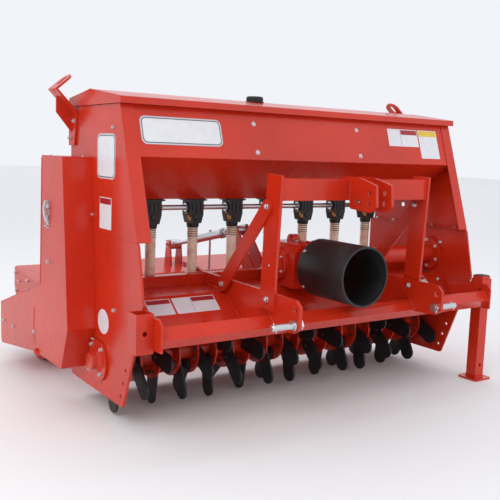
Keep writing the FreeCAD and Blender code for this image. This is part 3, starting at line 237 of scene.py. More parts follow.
# Each surface: the noise behind its colour, as (scale, detail, roughness, stretch), the colour's two stops,
# the noise and range of its roughness, the noise of its bump, the bump's strength and distance, and other
# inputs of the shader. A roughness or a bump with no noise of its own follows the colour's.
SURFACES = {
    # glossy powder coat: soft colour drift, a few dull patches and faint orange peel
    "paint": ((3.0, 4, 0.55), (0.35, 0.65), (14.0, 6, 0.6), (0.16, 0.36), (420.0, 2), (0.05, 0.0004),
              {"Specular IOR Level": 0.35, "Coat Weight": 0.12, "Coat Roughness": 0.06}),
    # moulded plastic, rubber or dull metal with a fine grain
    "plastic": ((9.0, 5), (0.35, 0.65), None, (0.38, 0.55), (900.0, 3), (0.12, 0.0003), {}),
    "satin": ((9.0, 5), (0.35, 0.65), None, (0.3, 0.45), (900.0, 3), (0.12, 0.0003), {}),
    "dull": ((9.0, 5), (0.35, 0.65), None, (0.35, 0.5), (900.0, 3), (0.12, 0.0003), {}),
    # zinc-plated or bright steel with faint drawn marks
    "steel": ((6.0, 8, 0.65, (60, 60, 60)), (0.35, 0.65), None, (0.22, 0.42), None, (0.08, 0.0003),
              {"Metallic": 1.0}),
    # black-painted steel, a little scuffed
    "blade": ((35.0, 8, 0.7), (0.4, 0.7), None, (0.34, 0.6), None, (0.15, 0.0005), {}),
    # slightly translucent hose
    "hose": ((24.0, 4), (0.35, 0.65), None, (0.22, 0.4), (500.0, 2), (0.08, 0.0003),
             {"Subsurface Weight": 0.25, "Subsurface Scale": 0.004}),
    # a label's slightly uneven satin face
    "vinyl": ((30.0, 3), (0.35, 0.65), None, (0.25, 0.38), None, (0.04, 0.0003), {}),
}
PAINT_SHADE, VINYL_SHADE = 0.82, 0.93       # the darker colour, as a share of the lighter one


def shaded(share, colour):
    """A colour's darker partner and the colour itself."""
    return tuple(c * share for c in colour), colour


PALETTE = {
    "red_paint": ("paint", *shaded(PAINT_SHADE, (0.61, 0.027, 0.007))),
    "black_plastic": ("plastic", (0.008, 0.008, 0.009), (0.016, 0.016, 0.018)),
    "zinc_steel": ("steel", (0.50, 0.51, 0.53), (0.74, 0.74, 0.76)),
    "blade_steel": ("blade", (0.006, 0.007, 0.009), (0.014, 0.015, 0.018)),
    "hose_beige": ("hose", (0.72, 0.50, 0.36), (0.90, 0.76, 0.62)),
    "hose_dark": ("hose", (0.16, 0.08, 0.05), (0.26, 0.15, 0.10)),
    "brass_plastic": ("satin", (0.42, 0.20, 0.04), (0.58, 0.31, 0.08)),
    "dark_bolt": ("dull", (0.035, 0.022, 0.018), (0.075, 0.05, 0.04)),
    "label_white": ("vinyl", *shaded(VINYL_SHADE, (0.74, 0.74, 0.77))),
    "label_silver": ("vinyl", *shaded(VINYL_SHADE, (0.56, 0.57, 0.60))),
    "label_dark": ("vinyl", *shaded(VINYL_SHADE, (0.05, 0.055, 0.065))),
    "label_red": ("vinyl", *shaded(VINYL_SHADE, (0.36, 0.012, 0.02))),
    "label_yellow": ("vinyl", *shaded(VINYL_SHADE, (0.74, 0.52, 0.04))),
}


def make_materials():
    """Every material of the palette."""
    for name, (surface, dark, light) in PALETTE.items():
        noise, stops, gloss_noise, gloss, bump_noise, bump, inputs = SURFACES[surface]
        material, nodes, links, shader = new_material(name)
        colour_by = cloud(nodes, links, *noise)
        blend_colours(nodes, links, colour_by, dark, light, shader, *stops)
        spread = nodes.new("ShaderNodeMapRange")
        spread.inputs["To Min"].default_value, spread.inputs["To Max"].default_value = gloss
        links.new(cloud(nodes, links, *gloss_noise) if gloss_noise else colour_by, spread.inputs["Value"])
        links.new(spread.outputs["Result"], shader.inputs["Roughness"])
        relief = add(nodes, "ShaderNodeBump", Strength=bump[0], Distance=bump[1])
        links.new(cloud(nodes, links, *bump_noise) if bump_noise else colour_by, relief.inputs["Height"])
        links.new(relief.outputs["Normal"], shader.inputs["Normal"])
        for key, value in inputs.items():
            shader.inputs[key].default_value = value
        MATERIALS[name] = material


# ---------------- mesh tools
def square_to(axis):
    """An axis and two directions square to it."""
    axis = Vector(axis).normalized()
    side = axis.orthogonal().normalized()
    return axis, side, axis.cross(side)


def at_x(x, pairs):
    """Points in one plane square to X, from (y, z) pairs."""
    return [(x, y, z) for y, z in pairs]


def circle(x, y, z, radius, angles):
    """Points on a circle square to X, at angles in degrees."""
    turns = [radians(angle) for angle in angles]
    return [(x, y + radius * cos(turn), z + radius * sin(turn)) for turn in turns]


def spoke(angle):
    """A direction square to Y, at an angle in degrees."""
    return Vector((cos(radians(angle)), 0, sin(radians(angle))))


def skin(bm, loops, closed=False, caps=True):
    """Joins loops of points into a surface, in machine millimetres."""
    rows = [[bm.verts.new(at(*point)) for point in loop] for loop in loops]
    count = len(rows[0])
    pairs = list(zip(rows, rows[1:])) + ([(rows[-1], rows[0])] if closed else [])
    for a, b in pairs:
        for i in range(count):
            j = (i + 1) % count
            bm.faces.new((a[i], a[j], b[j], b[i]))
    if caps and not closed:
        bm.faces.new(rows[0][::-1])
        bm.faces.new(rows[-1])


def revolve(bm, start, axis, profile, sides=24, closed=False):
    """Turns a profile of (distance, radius) pairs about an axis."""
    axis, u, v = square_to(axis)
    loops = []
    for distance, radius in profile:
        centre = Vector(start) + axis * distance
        turns = [2 * pi * i / sides for i in range(sides)]
        loops.append([centre + (u * cos(turn) + v * sin(turn)) * radius for turn in turns])
    skin(bm, loops, closed)


def washer(bm, place, axis, outer, inner, depth):
    """A flat ring that stands on a face."""
    profile = [(0, inner), (0, outer), (depth * 0.8, outer), (depth, outer - depth * 0.2), (depth, inner)]
    revolve(bm, place, axis, profile, 32, closed=True)


def bolt(bm, place, axis, size=10.0):
    """A washer with a chamfered hexagon head and its thread's end on a face."""
    place, axis = Vector(place), Vector(axis).normalized()
    revolve(bm, place, axis, [(0, size), (size * 0.14, size), (size * 0.2, size * 0.94)], 24)
    head = [(size * 0.2, size * 0.9), (size * 0.72, size * 0.9), (size * 0.82, size * 0.76)]
    revolve(bm, place, axis, head, 6)
    end = [(size * 0.8, size * 0.5), (size * 0.98, size * 0.5), (size * 1.08, size * 0.4)]
    revolve(bm, place, axis, end, 16)


def dome(bm, place, axis, radius):
    """A domed bolt head on a thin washer."""
    collar = [(0, radius * 1.3), (radius * 0.16, radius * 1.3), (radius * 0.2, radius * 1.2)]
    revolve(bm, place, axis, collar, 24)
    arc = [radians(angle) for angle in (0, 18, 36, 54, 72, 84)]
    profile = [(radius * (0.2 + 0.6 * sin(turn)), radius * cos(turn)) for turn in arc]
    revolve(bm, place, axis, profile, 20)


def bolts(bm, places, axis, size=10.0):
    """Several bolts that face one way."""
    for place in places:
        bolt(bm, place, axis, size)


def sweep(bm, path, radii, sides=10, across=X_WAY, caps=True):
    """A round section carried along a path, with a radius at each point."""
    loops = []
    for i, point in enumerate(path):
        ahead = (path[min(i + 1, len(path) - 1)] - path[max(i - 1, 0)]).normalized()
        u = (across - ahead * across.dot(ahead)).normalized()
        v = ahead.cross(u)
        turns = [2 * pi * k / sides for k in range(sides)]
        loops.append([point + (u * cos(turn) + v * sin(turn)) * radii[i] for turn in turns])
    if caps:
        skin(bm, loops)
    return loops


def divided(points, step):
    """Points along an open line at about an even step."""
    out = [Vector(points[0])]
    for a, b in zip(points, points[1:]):
        a, b = Vector(a), Vector(b)
        count = max(1, round((b - a).length / step))
        out += [a.lerp(b, (i + 1) / count) for i in range(count)]
    return out


def bead(bm, points, radius=3.0, across=Z_WAY):
    """A rippled weld bead along a line."""
    path = divided(points, 2.6)
    radii = [radius * (1.0 if i % 2 else 0.80) * random.uniform(0.93, 1.05) for i in range(len(path))]
    radii[0] = radii[-1] = radius * 0.4
    sweep(bm, path, radii, 8, across)


def ring_bead(bm, centre, axis, around, radius):
    """A rippled weld bead round a circle."""
    axis, u, v = square_to(axis)
    count = max(12, int(2 * pi * around * 360.0 / 360 / 3.2))
    angles = [radians(60 * k) for k in range(6)]
    loops = []
    for i in range(count):
        turn = radians(360.0 * i / count)
        out = u * cos(turn) + v * sin(turn)
        size = radius * (1.0 if i % 2 else 0.82)
        place = Vector(centre) + out * around
        loops.append([place + (out * cos(a) + axis * sin(a)) * size for a in angles])
    skin(bm, loops, closed=True)


def slab(bm, outline, depth):
    """A flat piece: a 3-D outline pushed out by a depth vector."""
    skin(bm, [[Vector(p) for p in outline], [Vector(p) + Vector(depth) for p in outline]])


def rounded_box(width, height, radius, steps=6):
    """A rounded rectangle's outline about its centre."""
    points = []
    for cx, cy, first in ((1, 1, 0), (-1, 1, 90), (-1, -1, 180), (1, -1, 270)):
        for i in range(steps + 1):
            turn = radians(first + 90 * i / steps)
            x = cx * (width / 2 - radius) + radius * cos(turn)
            y = cy * (height / 2 - radius) + radius * sin(turn)
            points.append((x, y))
    return points


def laid(outline, centre, u, v):
    """A 2-D outline placed in space about a centre."""
    return [Vector(centre) + Vector(u) * x + Vector(v) * y for x, y in outline]


def frame_ring(bm, centre, u, v, outer, inner, depth):
    """A flat border between two outlines."""
    lift = Vector(u).cross(Vector(v)).normalized() * depth
    a, b = laid(outer, centre, u, v), laid(inner, centre, u, v)
    skin(bm, [a, [p + lift for p in a], [p + lift for p in b], b], closed=True)


def add_piece(name, body, material, build, slot=None, sharp=35.0, replaces=()):
    """Builds one named mesh piece on a body. The slot argument is not used."""
    bm = bmesh.new()
    build(bm)
    bmesh.ops.recalc_face_normals(bm, faces=bm.faces)
    mesh = bpy.data.meshes.new(name)
    bm.to_mesh(mesh)
    bm.free()
    mesh.shade_smooth()
    mesh.set_sharp_from_angle(angle=radians(sharp))
    mesh.materials.append(MATERIALS[material])
    made = bpy.data.objects.new(name, mesh)
    scene.collection.objects.link(made)
    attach(made, body)
    if replaces:
        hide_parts(*replaces)


def piece(material, body="frame", **options):
    """Builds the function below it at once, as a piece that carries the function's name."""
    def build_now(build):
        add_piece(build.__name__, body, material, build, **options)
        return build
    return build_now


# ---------------- labels and plates
def sticker(name, material, outline, centre, u, v, depth):
    """A thin flat piece on the frame, from a 2-D outline."""
    lift = u.cross(v) * depth
    add_piece(name, "frame", material, lambda bm: slab(bm, laid(outline, centre, u, v), lift))


def label(name, centre, u, v, width, height, header, header_material="label_red", split=0.0):
    """A blank label: a pale field with a coloured header and, if split, a picture field on its left."""
    u, v = Vector(u).normalized(), Vector(v).normalized()
    lift = u.cross(v)
    field = rounded_box(width, height, 3.0)
    sticker(name, "label_white", field, centre, u, v, 0.5)
    left = width * split
    middle = Vector(centre) + u * left / 2 + v * (height / 2 - header / 2 - 3) + lift * 0.5
    band = rounded_box(width - left - 6, header, 2.0)
    sticker(name + "_header", header_material, band, middle, u, v, 0.25)
    if split:
        line = Vector(centre) + u * (width * split - width / 2) + lift * 0.5
        rule = rounded_box(1.2, height - 6, 0.5)
        sticker(name + "_rule", "label_dark", rule, line, u, v, 0.2)


def badge(name, centre, u, v, width, height, corner):
    """A blank maker's plate: a pale rounded field inside a dark line and a silver border."""
    u, v = Vector(u).normalized(), Vector(v).normalized()
    lift = u.cross(v)
    outer, line, field = [rounded_box(width - cut, height - cut, corner - turn)
                          for cut, turn in ((0, 0), (10, 4), (16, 6))]
    sticker(name, "label_silver", outer, centre, u, v, 0.6)
    top = Vector(centre) + lift * 0.6
    add_piece(name + "_line", "frame", "label_dark", lambda bm: frame_ring(bm, top, u, v, line, field, 0.3))
    sticker(name + "_field", "label_white", field, top, u, v, 0.25)


HOOD_LABEL_Y = -155.5
HOOD_LABELS = (("hood_a", -676, -579), ("hood_b", -571, -398), ("hood_c", 430, 600), ("hood_d", 608, 705))
PICTURE_SHARE = 0.42        # of a split label's width


def make_labels():
    """The blank plates and warning labels where the machine carries them."""
    left, back, up = -HALF_WIDTH, -Y_WAY, Z_WAY
    badge("badge_end", (left, -41.5, 910), back, up, 149, 152, 22)
    label("label_end", (left, -40.5, 717), back, up, 97, 108, header=20)
    turns = [radians(10 * i) for i in range(36)]
    oval = [(46 * cos(turn), 43.5 * sin(turn)) for turn in turns]
    centre = Vector((left, -31, 338))
    sticker("sticker_oval", "label_white", oval, centre, back, up, 0.5)
    badge("badge_front", (-563.5, front_y(1001.5), 1001.5), X_WAY, FRONT_UP, 313, 97, 20)
    place = (491, front_y(1021), 1021)
    label("label_front_wide", place, X_WAY, FRONT_UP, 172, 74, header=20, split=PICTURE_SHARE)
    place = (639.5, front_y(998), 998)
    label("label_front_tall", place, X_WAY, FRONT_UP, 112, 124, header=24, header_material="label_yellow")
    slope = Vector((0, 154, 119)).normalized()
    for name, low, high in HOOD_LABELS:
        place = Vector(((low + high) / 2, HOOD_LABEL_Y, hood_z(HOOD_LABEL_Y)))
        split = PICTURE_SHARE if high - low > 120 else 0.0
        label("label_" + name, place, X_WAY, slope, high - low, 72, header=19, split=split)


# ---------------- CAD nodes
def dress_frame():
    """Gives each CAD node its slot's material and softly broken edges."""
    slots = {row["node"]: row["material_slot"] for row in frame["record"]["subparts"]}
    for name, node in frame["nodes"].items():
        for place in node.material_slots:
            place.material = MATERIALS[slots[name]]
        weld = node.modifiers.new("weld", "WELD")
        weld.merge_threshold = 0.00002
        bevel = node.modifiers.new("edges", "BEVEL")
        bevel.width = 0.0009
        bevel.segments = 2
        bevel.limit_method = "ANGLE"
        bevel.angle_limit = radians(35)
        bevel.harden_normals = True


make_materials()
make_camera()
make_stage()
dress_frame()
make_labels()


# ---------------- frame hardware
EYE_BOLTS = ((230, 1031), (267, 969))                   # lift eyes, as (y, z)
PLATE_BOLTS = ((-154, 571), (-153, 403), (131, 603))    # inner faces of the side plates
FLANGE_BOLT_YS = (-240, -110, 20, 131, 240)             # hopper ends on the side plates
PANEL_BOLT_XS, PANEL_BOLT_ZS = (-264, 234), (1042, 940)
PANEL_DOME_XS = (-600, -200, 200, 600)
MAST_LOW_BOLT = (-398.5, 448)
MAST_BOLT_SIZE = 10.5
BEARING_BOLTS = ((49, 242), (-36, 239), (-31, 150), (60, 147))
BEARING_FLANGE_T = 9
GREASE_NIPPLE = [(0, 4), (7, 4), (8, 3), (11, 3), (12.5, 1.6), (15, 1.6)]
CASE_CIRCLES = ((GEARBOX_Y, DRIVE_Z, 76, range(-30, 211, 40)), (0.0, ROTOR_Z, 69, range(150, 391, 40)))
CASE_PLUG = (-50, 370)
DISH_T, DISH_BOLT_R = 14, 58
HITCH_PIN = (-544.0, 387.0)


# Bolts, nuts and domed heads fixed on the frame.
@piece("zinc_steel")
def shell_bolts(bm):
    for side, out in SIDES:
        bolts(bm, [(side * HALF_WIDTH, -99, 1006)], out, 7)
        bolts(bm, at_x(side * (HALF_WIDTH + 8), EYE_BOLTS), out, 9)
        bolts(bm, at_x(side * PLATE_IN, PLATE_BOLTS), -out, 8)
        bolts(bm, [(side * (HALF_WIDTH - 22), y, 645) for y in FLANGE_BOLT_YS], Z_WAY, 7)
        bolts(bm, at_x(side * (HALF_WIDTH - 3), EYE_BOLTS), -out, 8)
    bolts(bm, [(-HALF_WIDTH, -118, 395)], -X_WAY, 8)
    for x in PANEL_BOLT_XS:
        for z in PANEL_BOLT_ZS:
            dome(bm, (x, front_y(z), z), FRONT_NORMAL, 7)
    for x in PANEL_BOLT_XS:
        bolts(bm, [(x, REAR_PANEL_Y, z) for z in PANEL_BOLT_ZS], Y_WAY, 8)
    for x in PANEL_DOME_XS:
        dome(bm, (x, REAR_PANEL_Y, 930), Y_WAY, 6)


@piece("zinc_steel")
def mast_bolts(bm):
    for side, out in SIDES:
        bolts(bm, at_x(side * BRACE_OUT, (BRACE_TOP, BRACE_BOTTOM)), out, MAST_BOLT_SIZE)
        bolts(bm, at_x(side * POST_OUT, (MAST_LOW_BOLT,)), out, MAST_BOLT_SIZE)
        bolts(bm, at_x(side * ARM_OUT, (BRACE_TOP,)), -out, MAST_BOLT_SIZE)
        bolts(bm, at_x(side * ARM_IN, (MAST_LOW_BOLT, BRACE_BOTTOM)), -out, MAST_BOLT_SIZE)
        dome(bm, (side * POST_OUT, -405, 565), out, 3.5)


@piece("zinc_steel")
def bearing_bolts(bm):
    face = -HALF_WIDTH - BEARING_FLANGE_T
    bolts(bm, at_x(face, BEARING_BOLTS), -X_WAY, 9)
    revolve(bm, (face, 26, 262), -X_WAY + Z_WAY * 0.6, GREASE_NIPPLE, 12)


@piece("zinc_steel")
def case_bolts(bm):
    face = span("side_drive_case", 0)[1]
    tilt = degrees(atan2(ROTOR_Z - DRIVE_Z, -GEARBOX_Y)) + 90
    for y, z, around, angles in CASE_CIRCLES:
        for place in circle(face, y, z, around, [angle + tilt for angle in angles]):
            dome(bm, place, X_WAY, 5)
    revolve(bm, (face, *CASE_PLUG), X_WAY, [(0, 15), (5, 15), (6, 13.5)], 24)
    revolve(bm, (face, *CASE_PLUG), X_WAY, [(6, 9.5), (13, 9.5), (14.5, 8)], 6)


@piece("zinc_steel")
def dish_bolts(bm):
    places = circle(PLATE_IN - DISH_T, GEARBOX_Y, DRIVE_Z, DISH_BOLT_R, range(25, 385, 60))
    bolts(bm, places, -X_WAY, 8)


@piece("zinc_steel")
def pin_rings(bm):
    across = Vector((0, 0.5, 0.87))
    for side in (-1, 1):
        middle = Vector((side * (span("hitch_pins", 0)[1] - 14), *HITCH_PIN))
        revolve(bm, middle - across * 17, across, [(0, 1.5), (0.8, 2.6), (32, 2.6), (34, 1.5)], 10)


COVER_BOLT_R, COVER_FACE = 84, 12       # the gearbox's rear cover
SIDE_BOLT_R, SIDE_FACE = 57, 101.0      # the gearbox's blank side
HOUSING_TOP = 77
SHIELD_OUT_R, SHIELD_DOME_ANGLES = 108.6, (38, 142, 218, 322)
BREATHER = [(0, 9), (6, 9), (7, 6), (14, 6), (16, 4.5), (24, 4.5), (26, 2.5)]
FIN_XS, FIN_SECTION = (-56, -28, 28, 56), ((-3, 76), (3, 76), (2, 86), (-2, 86))
RIB_ROOT, RIB_ENDS = 58, ((-201, 78), (-248, 92))       # nose ribs: inner radius, then (y, outer radius)


# Cover bolts, fins, seal, filler plug and breather on the gearbox, and the guard's bolts.
@piece("zinc_steel")
def gearbox_hardware(bm):
    for i in range(8):
        turn = radians(22.5 + 45 * i)
        x, z = COVER_BOLT_R * cos(turn), DRIVE_Z + COVER_BOLT_R * sin(turn)
        bolt(bm, (x, GEARBOX_HUB_Y + COVER_FACE, z), Y_WAY, 6.5)
    bolts(bm, circle(-SIDE_FACE, GEARBOX_Y, DRIVE_Z, SIDE_BOLT_R, range(30, 390, 60)), -X_WAY, 6.5)
    for angle in SHIELD_DOME_ANGLES:
        out = spoke(angle)
        dome(bm, Vector((0, SHIELD_REAR_Y - 12, DRIVE_Z)) + out * SHIELD_OUT_R, out, 6)
    revolve(bm, (-40, -150, DRIVE_Z + HOUSING_TOP), Z_WAY, [(0, 13), (4, 13), (5, 12)], 20)
    revolve(bm, (-40, -150, DRIVE_Z + HOUSING_TOP + 5), Z_WAY, [(0, 9), (9, 9), (10.5, 7.5)], 6)
    revolve(bm, (42, -45, DRIVE_Z + HOUSING_TOP), Z_WAY, BREATHER, 16)
    revolve(bm, (0, -10.5, DRIVE_Z), Y_WAY, [(0, 16), (6, 16), (7, 14)], 6)
    revolve(bm, (-121, GEARBOX_Y, DRIVE_Z), -X_WAY, [(0, 15), (3.2, 15), (4, 14)], 20)


@piece("black_plastic")
def gearbox_seals(bm):
    washer(bm, (-121, GEARBOX_Y, DRIVE_Z), -X_WAY, 38, 15, 3.0)
    washer(bm, (0, GEARBOX_HUB_Y, DRIVE_Z), -Y_WAY, 34, 20.6, 4.0)
    washer(bm, (0, SHIELD_FRONT_Y, DRIVE_Z), Y_WAY, 105.2, 102.2, 9.0)


@piece("red_paint")
def gearbox_casting(bm):
    for x in FIN_XS:
        slab(bm, [(x + dx, -188, DRIVE_Z + dz) for dx, dz in FIN_SECTION], (0, 60, 0))
    for i in range(8):
        out = spoke(45 * i)
        half = out.cross(Y_WAY) * 3.5
        loops = []
        for y, reach in RIB_ENDS:
            corners = ((RIB_ROOT, -half), (RIB_ROOT, half), (reach, half), (reach, -half))
            loops.append([Vector((0, y, DRIVE_Z)) + out * radius + step for radius, step in corners])
        skin(bm, loops)
    ring_bead(bm, (-95, GEARBOX_Y, DRIVE_Z), X_WAY, 66.5, 3.0)
    ring_bead(bm, (110, GEARBOX_Y, DRIVE_Z), X_WAY, 39.5, 3.4)
    washer(bm, (0, -10, DRIVE_Z), Y_WAY, 58, 6, 6.0)


BEAM_REAR, BEAM_FRONT = (BEAM_Y + BEAM_HALF, BEAM_Z), (BEAM_Y - BEAM_HALF, BEAM_Z)
BEAM_TOP, BEAM_BOTTOM = (BEAM_Y, BEAM_Z + BEAM_HALF), (BEAM_Y, BEAM_Z - BEAM_HALF)
STITCH_XS, STITCH_HALF = (-520, -170, 170, 520), 30     # short beads along the rear cross member
BRACKET_FACES = (26.0, 34.0)


# Painted weld beads where the frame's plates meet, and the tube rail's bolts.
@piece("red_paint", sharp=80)
def frame_welds(bm):
    (bar_y0, bar_y1), (bar_z0, bar_z1) = span("mast_crossbar", 1), span("mast_crossbar", 2)
    bar = [(bar_y0, bar_z0), (bar_y0, bar_z1), (bar_y1, bar_z1), (bar_y1, bar_z0), (bar_y0, bar_z0)]
    beam_end, clevis_out = span("front_beam", 0)[1], span("top_link_clevis", 0)[1]
    socket_rear = span("leg_sockets", 1)[1] - 2
    socket_low, socket_high = span("leg_sockets", 2)
    for side in (-1, 1):
        for face in (side * ARM_IN, side * ARM_OUT):
            bead(bm, at_x(face, [(y, hood_z(y) + 2) for y in (-262, -118, 22)]), 3.6, X_WAY)
            bead(bm, at_x(face, [(30, CROSS_TOP_Z + 1), (62, CROSS_TOP_Z + 1)]), 3.2)
            bead(bm, at_x(face, [BEAM_REAR, BEAM_TOP, BEAM_FRONT]), 3.4, X_WAY)
        loop = [BEAM_REAR, BEAM_TOP, BEAM_FRONT, BEAM_BOTTOM, BEAM_REAR]
        bead(bm, at_x(side * (beam_end - 1.5), loop), 3.4, X_WAY)
        bead(bm, at_x(side * (ARM_OUT - 1.5), bar), 3.4, X_WAY)
        for face in (side * (clevis_out - 12), side * clevis_out):
            bead(bm, at_x(face, [(bar_y0, bar_z0 + 4), (bar_y0, bar_z1)]), 3.0, X_WAY)
            bead(bm, at_x(face, [(bar_y0, bar_z1 + 1), (bar_y1 - 22, bar_z1 + 1)]), 3.0, X_WAY)
        plate = side * (PLATE_IN - 1)
        bead(bm, at_x(plate, [(-262, hood_z(-262)), (-116, 429), (26, 432)]), 3.2, X_WAY)
        bead(bm, at_x(plate, [(64, 433), (188, 328)]), 3.2, X_WAY)
        bead(bm, at_x(side * (PLATE_IN - 9), [(-336, 330), (-336, 420)]), 2.6, X_WAY)
        upright = [(socket_rear, socket_low + 6), (socket_rear, socket_high - 6)]
        bead(bm, at_x(side * (PLATE_IN + 1.5), upright), 3.0, X_WAY)
    for x in STITCH_XS:
        bead(bm, [(x - STITCH_HALF, 27, 433), (x + STITCH_HALF, 27, 433)], 3.2, Z_WAY)
        bead(bm, [(x - STITCH_HALF, 65, 432.5), (x + STITCH_HALF, 65, 432.5)], 3.0, Z_WAY)


@piece("red_paint", sharp=80)
def bracket_welds(bm):
    for side in (-1, 1):
        for face in BRACKET_FACES:
            bead(bm, at_x(side * face, [(y, hood_z(y) + 1) for y in (98, 150)]), 3.0, X_WAY)


@piece("zinc_steel")
def rail_bolts(bm):
    place = TUBE_CORNER - SLOPE_OUT * TUBE_STANDOFF + SLOPE_WAY * RAIL_AT + SLOPE_OUT * RAIL_BOLT_UP
    for x in METER_X:
        for step in (-34, 34):
            bolt(bm, (x + step, place.y, place.z), (0, -0.765, 0.644), 6)


# ---------------- seed metering
TUBE_SIDES, TUBE_BORE_R = 20, 17.5
RIB_STEP, RIB_RADII = 2.2, (18.6, 19.6, 20.5, 19.6)
CLAMP_SCREW = [(0, 4.5), (1, 5), (5, 5), (5.5, 3), (18, 3)]


def tube_path(x, step):
    """A seed tube's route: down from its meter, round the bend and along the hood's slope."""
    turn = acos(-SLOPE_WAY.z)
    reach = TUBE_BEND_R * tan(turn / 2)
    top = Vector((x, METER_Y, METER_BASE_Z))
    arc_start = Vector((x, METER_Y, TUBE_CORNER.z + reach))
    centre = arc_start + Y_WAY * TUBE_BEND_R
    path = divided([top, arc_start], step)
    count = max(2, round(TUBE_BEND_R * turn / step))
    for i in range(1, count + 1):
        angle = turn * i / count
        path.append(centre + Vector((0, -TUBE_BEND_R * cos(angle), -TUBE_BEND_R * sin(angle))))
    tail = Vector((x, TUBE_CORNER.y, TUBE_CORNER.z)) + SLOPE_WAY * TUBE_TAIL
    return path + divided([path[-1], tail], step)[1:]


# Ribbed, hollow seed tubes, with darker rings at their tops and clamps at the rail.
@piece("hose_beige", sharp=70, replaces=("seed_tubes",))
def ribbed_tubes(bm):
    for x in METER_X:
        path = tube_path(x, RIB_STEP)
        core = path[::4] + [path[-1]]
        outer = sweep(bm, path, [RIB_RADII[i % 4] for i in range(len(path))], TUBE_SIDES, caps=False)
        inner = sweep(bm, core, [TUBE_BORE_R] * len(core), TUBE_SIDES, caps=False)
        skin(bm, outer + inner[::-1], closed=True)


@piece("hose_dark", slot="hose_beige")
def tube_rings(bm):
    for x in METER_X:
        for i in range(4):
            centre = (x, METER_Y, METER_BASE_Z - 4.5 - i * 4 * RIB_STEP - 0.5)
            washer(bm, Vector(centre), -Z_WAY, 21.2, 19.0, 3.0)


@piece("zinc_steel")
def tube_clamps(bm):
    for x in METER_X:
        place = Vector((x, TUBE_CORNER.y, TUBE_CORNER.z)) + SLOPE_WAY * 172
        washer(bm, place, SLOPE_WAY, 22.4, 20.2, 11.0)
        revolve(bm, place + SLOPE_WAY * 5.5 + SLOPE_OUT * 22 - X_WAY * 9, X_WAY, CLAMP_SCREW, 12)


METER_TOP_Z = span("seed_meters", 2)[1]
METER_FRONT_Y = METER_Y - 30
METER_RIB = ((-1.5, 1, 704), (1.5, 1, 704), (1.5, -3, 708), (-1.5, -3, 708))     # (dx, dy, z)
METER_SCREWS = ((-37, -28), (37, -28), (-37, 28), (37, 28))
LEVER_RADII = [5.2, 5.8, 5.6, 4.8, 3.6, 3.2]
COLLAR = [(0, 10), (0, 12.5), (0.8, 13.4), (5.2, 13.4), (6, 12.5), (6, 10)]


# Moulded ribs, flanges, screws and shaft rings on the seed meters.
@piece("black_plastic")
def meter_mouldings(bm):
    for x in METER_X:
        flange = laid(rounded_box(88, 76, 9), (x, METER_Y, METER_TOP_Z - 7), X_WAY, Y_WAY)
        slab(bm, flange, (0, 0, 4.5))
        for step in (-18, 0, 18):
            slab(bm, [(x + step + dx, METER_FRONT_Y + dy, z) for dx, dy, z in METER_RIB], (0, 0, 36))
        revolve(bm, (x, METER_FRONT_Y + 1, 688), -Y_WAY, [(0, 15), (3, 15), (5, 12.5)], 28)
        neck = [(0, 24), (4, 24.6), (6, 24.6), (8, 23.4)]
        revolve(bm, (x, METER_Y, METER_BASE_Z + 15), -Z_WAY, neck, 32)
        for side, out in SIDES:
            revolve(bm, (x + side * 29, METER_Y, METER_SHAFT_Z), out, [(0, 23), (2.5, 23), (4, 21)], 32)


@piece("zinc_steel")
def meter_rings(bm):
    for x in METER_X:
        washer(bm, (x - 33, METER_Y, METER_SHAFT_Z), -X_WAY, 17, 10.6, 3.0)
        for dx, dy in METER_SCREWS:
            dome(bm, (x + dx, METER_Y + dy, METER_TOP_Z - 7), -Z_WAY, 3.2)


@piece("black_plastic")
def meter_pivots(bm):
    for x in METER_X:
        revolve(bm, (x - 35, METER_Y - 15, 695.1), -X_WAY, [(0, 4.6), (2.4, 4.6), (3.4, 3.4)], 16)


@piece("brass_plastic")
def meter_levers(bm):
    for x in METER_X:
        path = divided([(x - 36, METER_Y - 40, 678.8), (x - 36, METER_Y - 24, 689.4)], 4)
        sweep(bm, path, LEVER_RADII[:len(path)], 12, Y_WAY)


@piece("zinc_steel", "meters")
def shaft_collar(bm):
    place = (span("meter_shaft", 0)[1] - 6, METER_Y, METER_SHAFT_Z)
    revolve(bm, place, X_WAY, COLLAR, 28, closed=True)
    revolve(bm, Vector(place) + X_WAY * 3 - Y_WAY * 13, -Y_WAY, [(0, 1.8), (1.6, 1.8), (2, 1.4)], 6)


# ---------------- lid and cover
HINGE_XS = (-520.0, 0.0, 520.0)
LID_HALF = span("hopper_lid", 0)[1]
LID_HEM_Y = LID_REAR_Y - 26.0
LID_LINE = [(LID_FRONT_Y + 1, 1106.5), (83.0, 1139.5), (LID_HEM_Y, 1114.5)]      # under the lid's top
SEAL_YS = (-120.0, 250.0)
GRIP_COUNT, GRIP_AROUND, GRIP = 28, 31.6, [(0, 1.0), (1, 1.9), (11.5, 1.9), (13, 0.8)]


# The filler cap's grips, hinge pins and leaves, lid welds and studs, and a rubber seal.
CAP_LOW, CAP_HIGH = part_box("lid_cap")
CAP_X = ((CAP_LOW[0] + CAP_HIGH[0]) / 2 - ROTOR.x) * 1000
CAP_Y = ((CAP_LOW[1] + CAP_HIGH[1]) / 2 - ROTOR.y) * 1000
CAP_TOP_Z = span("lid_cap", 2)[1]


@piece("black_plastic", "lid")
def cap_grips(bm):
    for i in range(GRIP_COUNT):
        turn = 2 * pi * i / GRIP_COUNT
        out = Vector((cos(turn), sin(turn), 0))
        revolve(bm, Vector((CAP_X, CAP_Y, CAP_TOP_Z - 17)) + out * GRIP_AROUND, Z_WAY, GRIP, 8)
    revolve(bm, (CAP_X, CAP_Y, CAP_TOP_Z - 0.6), Z_WAY, [(0, 22), (0.4, 22), (0.6, 21.4)], 32)
    washer(bm, (CAP_X, CAP_Y, CAP_TOP_Z - 21.5), Z_WAY, 37, 32, 3.0)


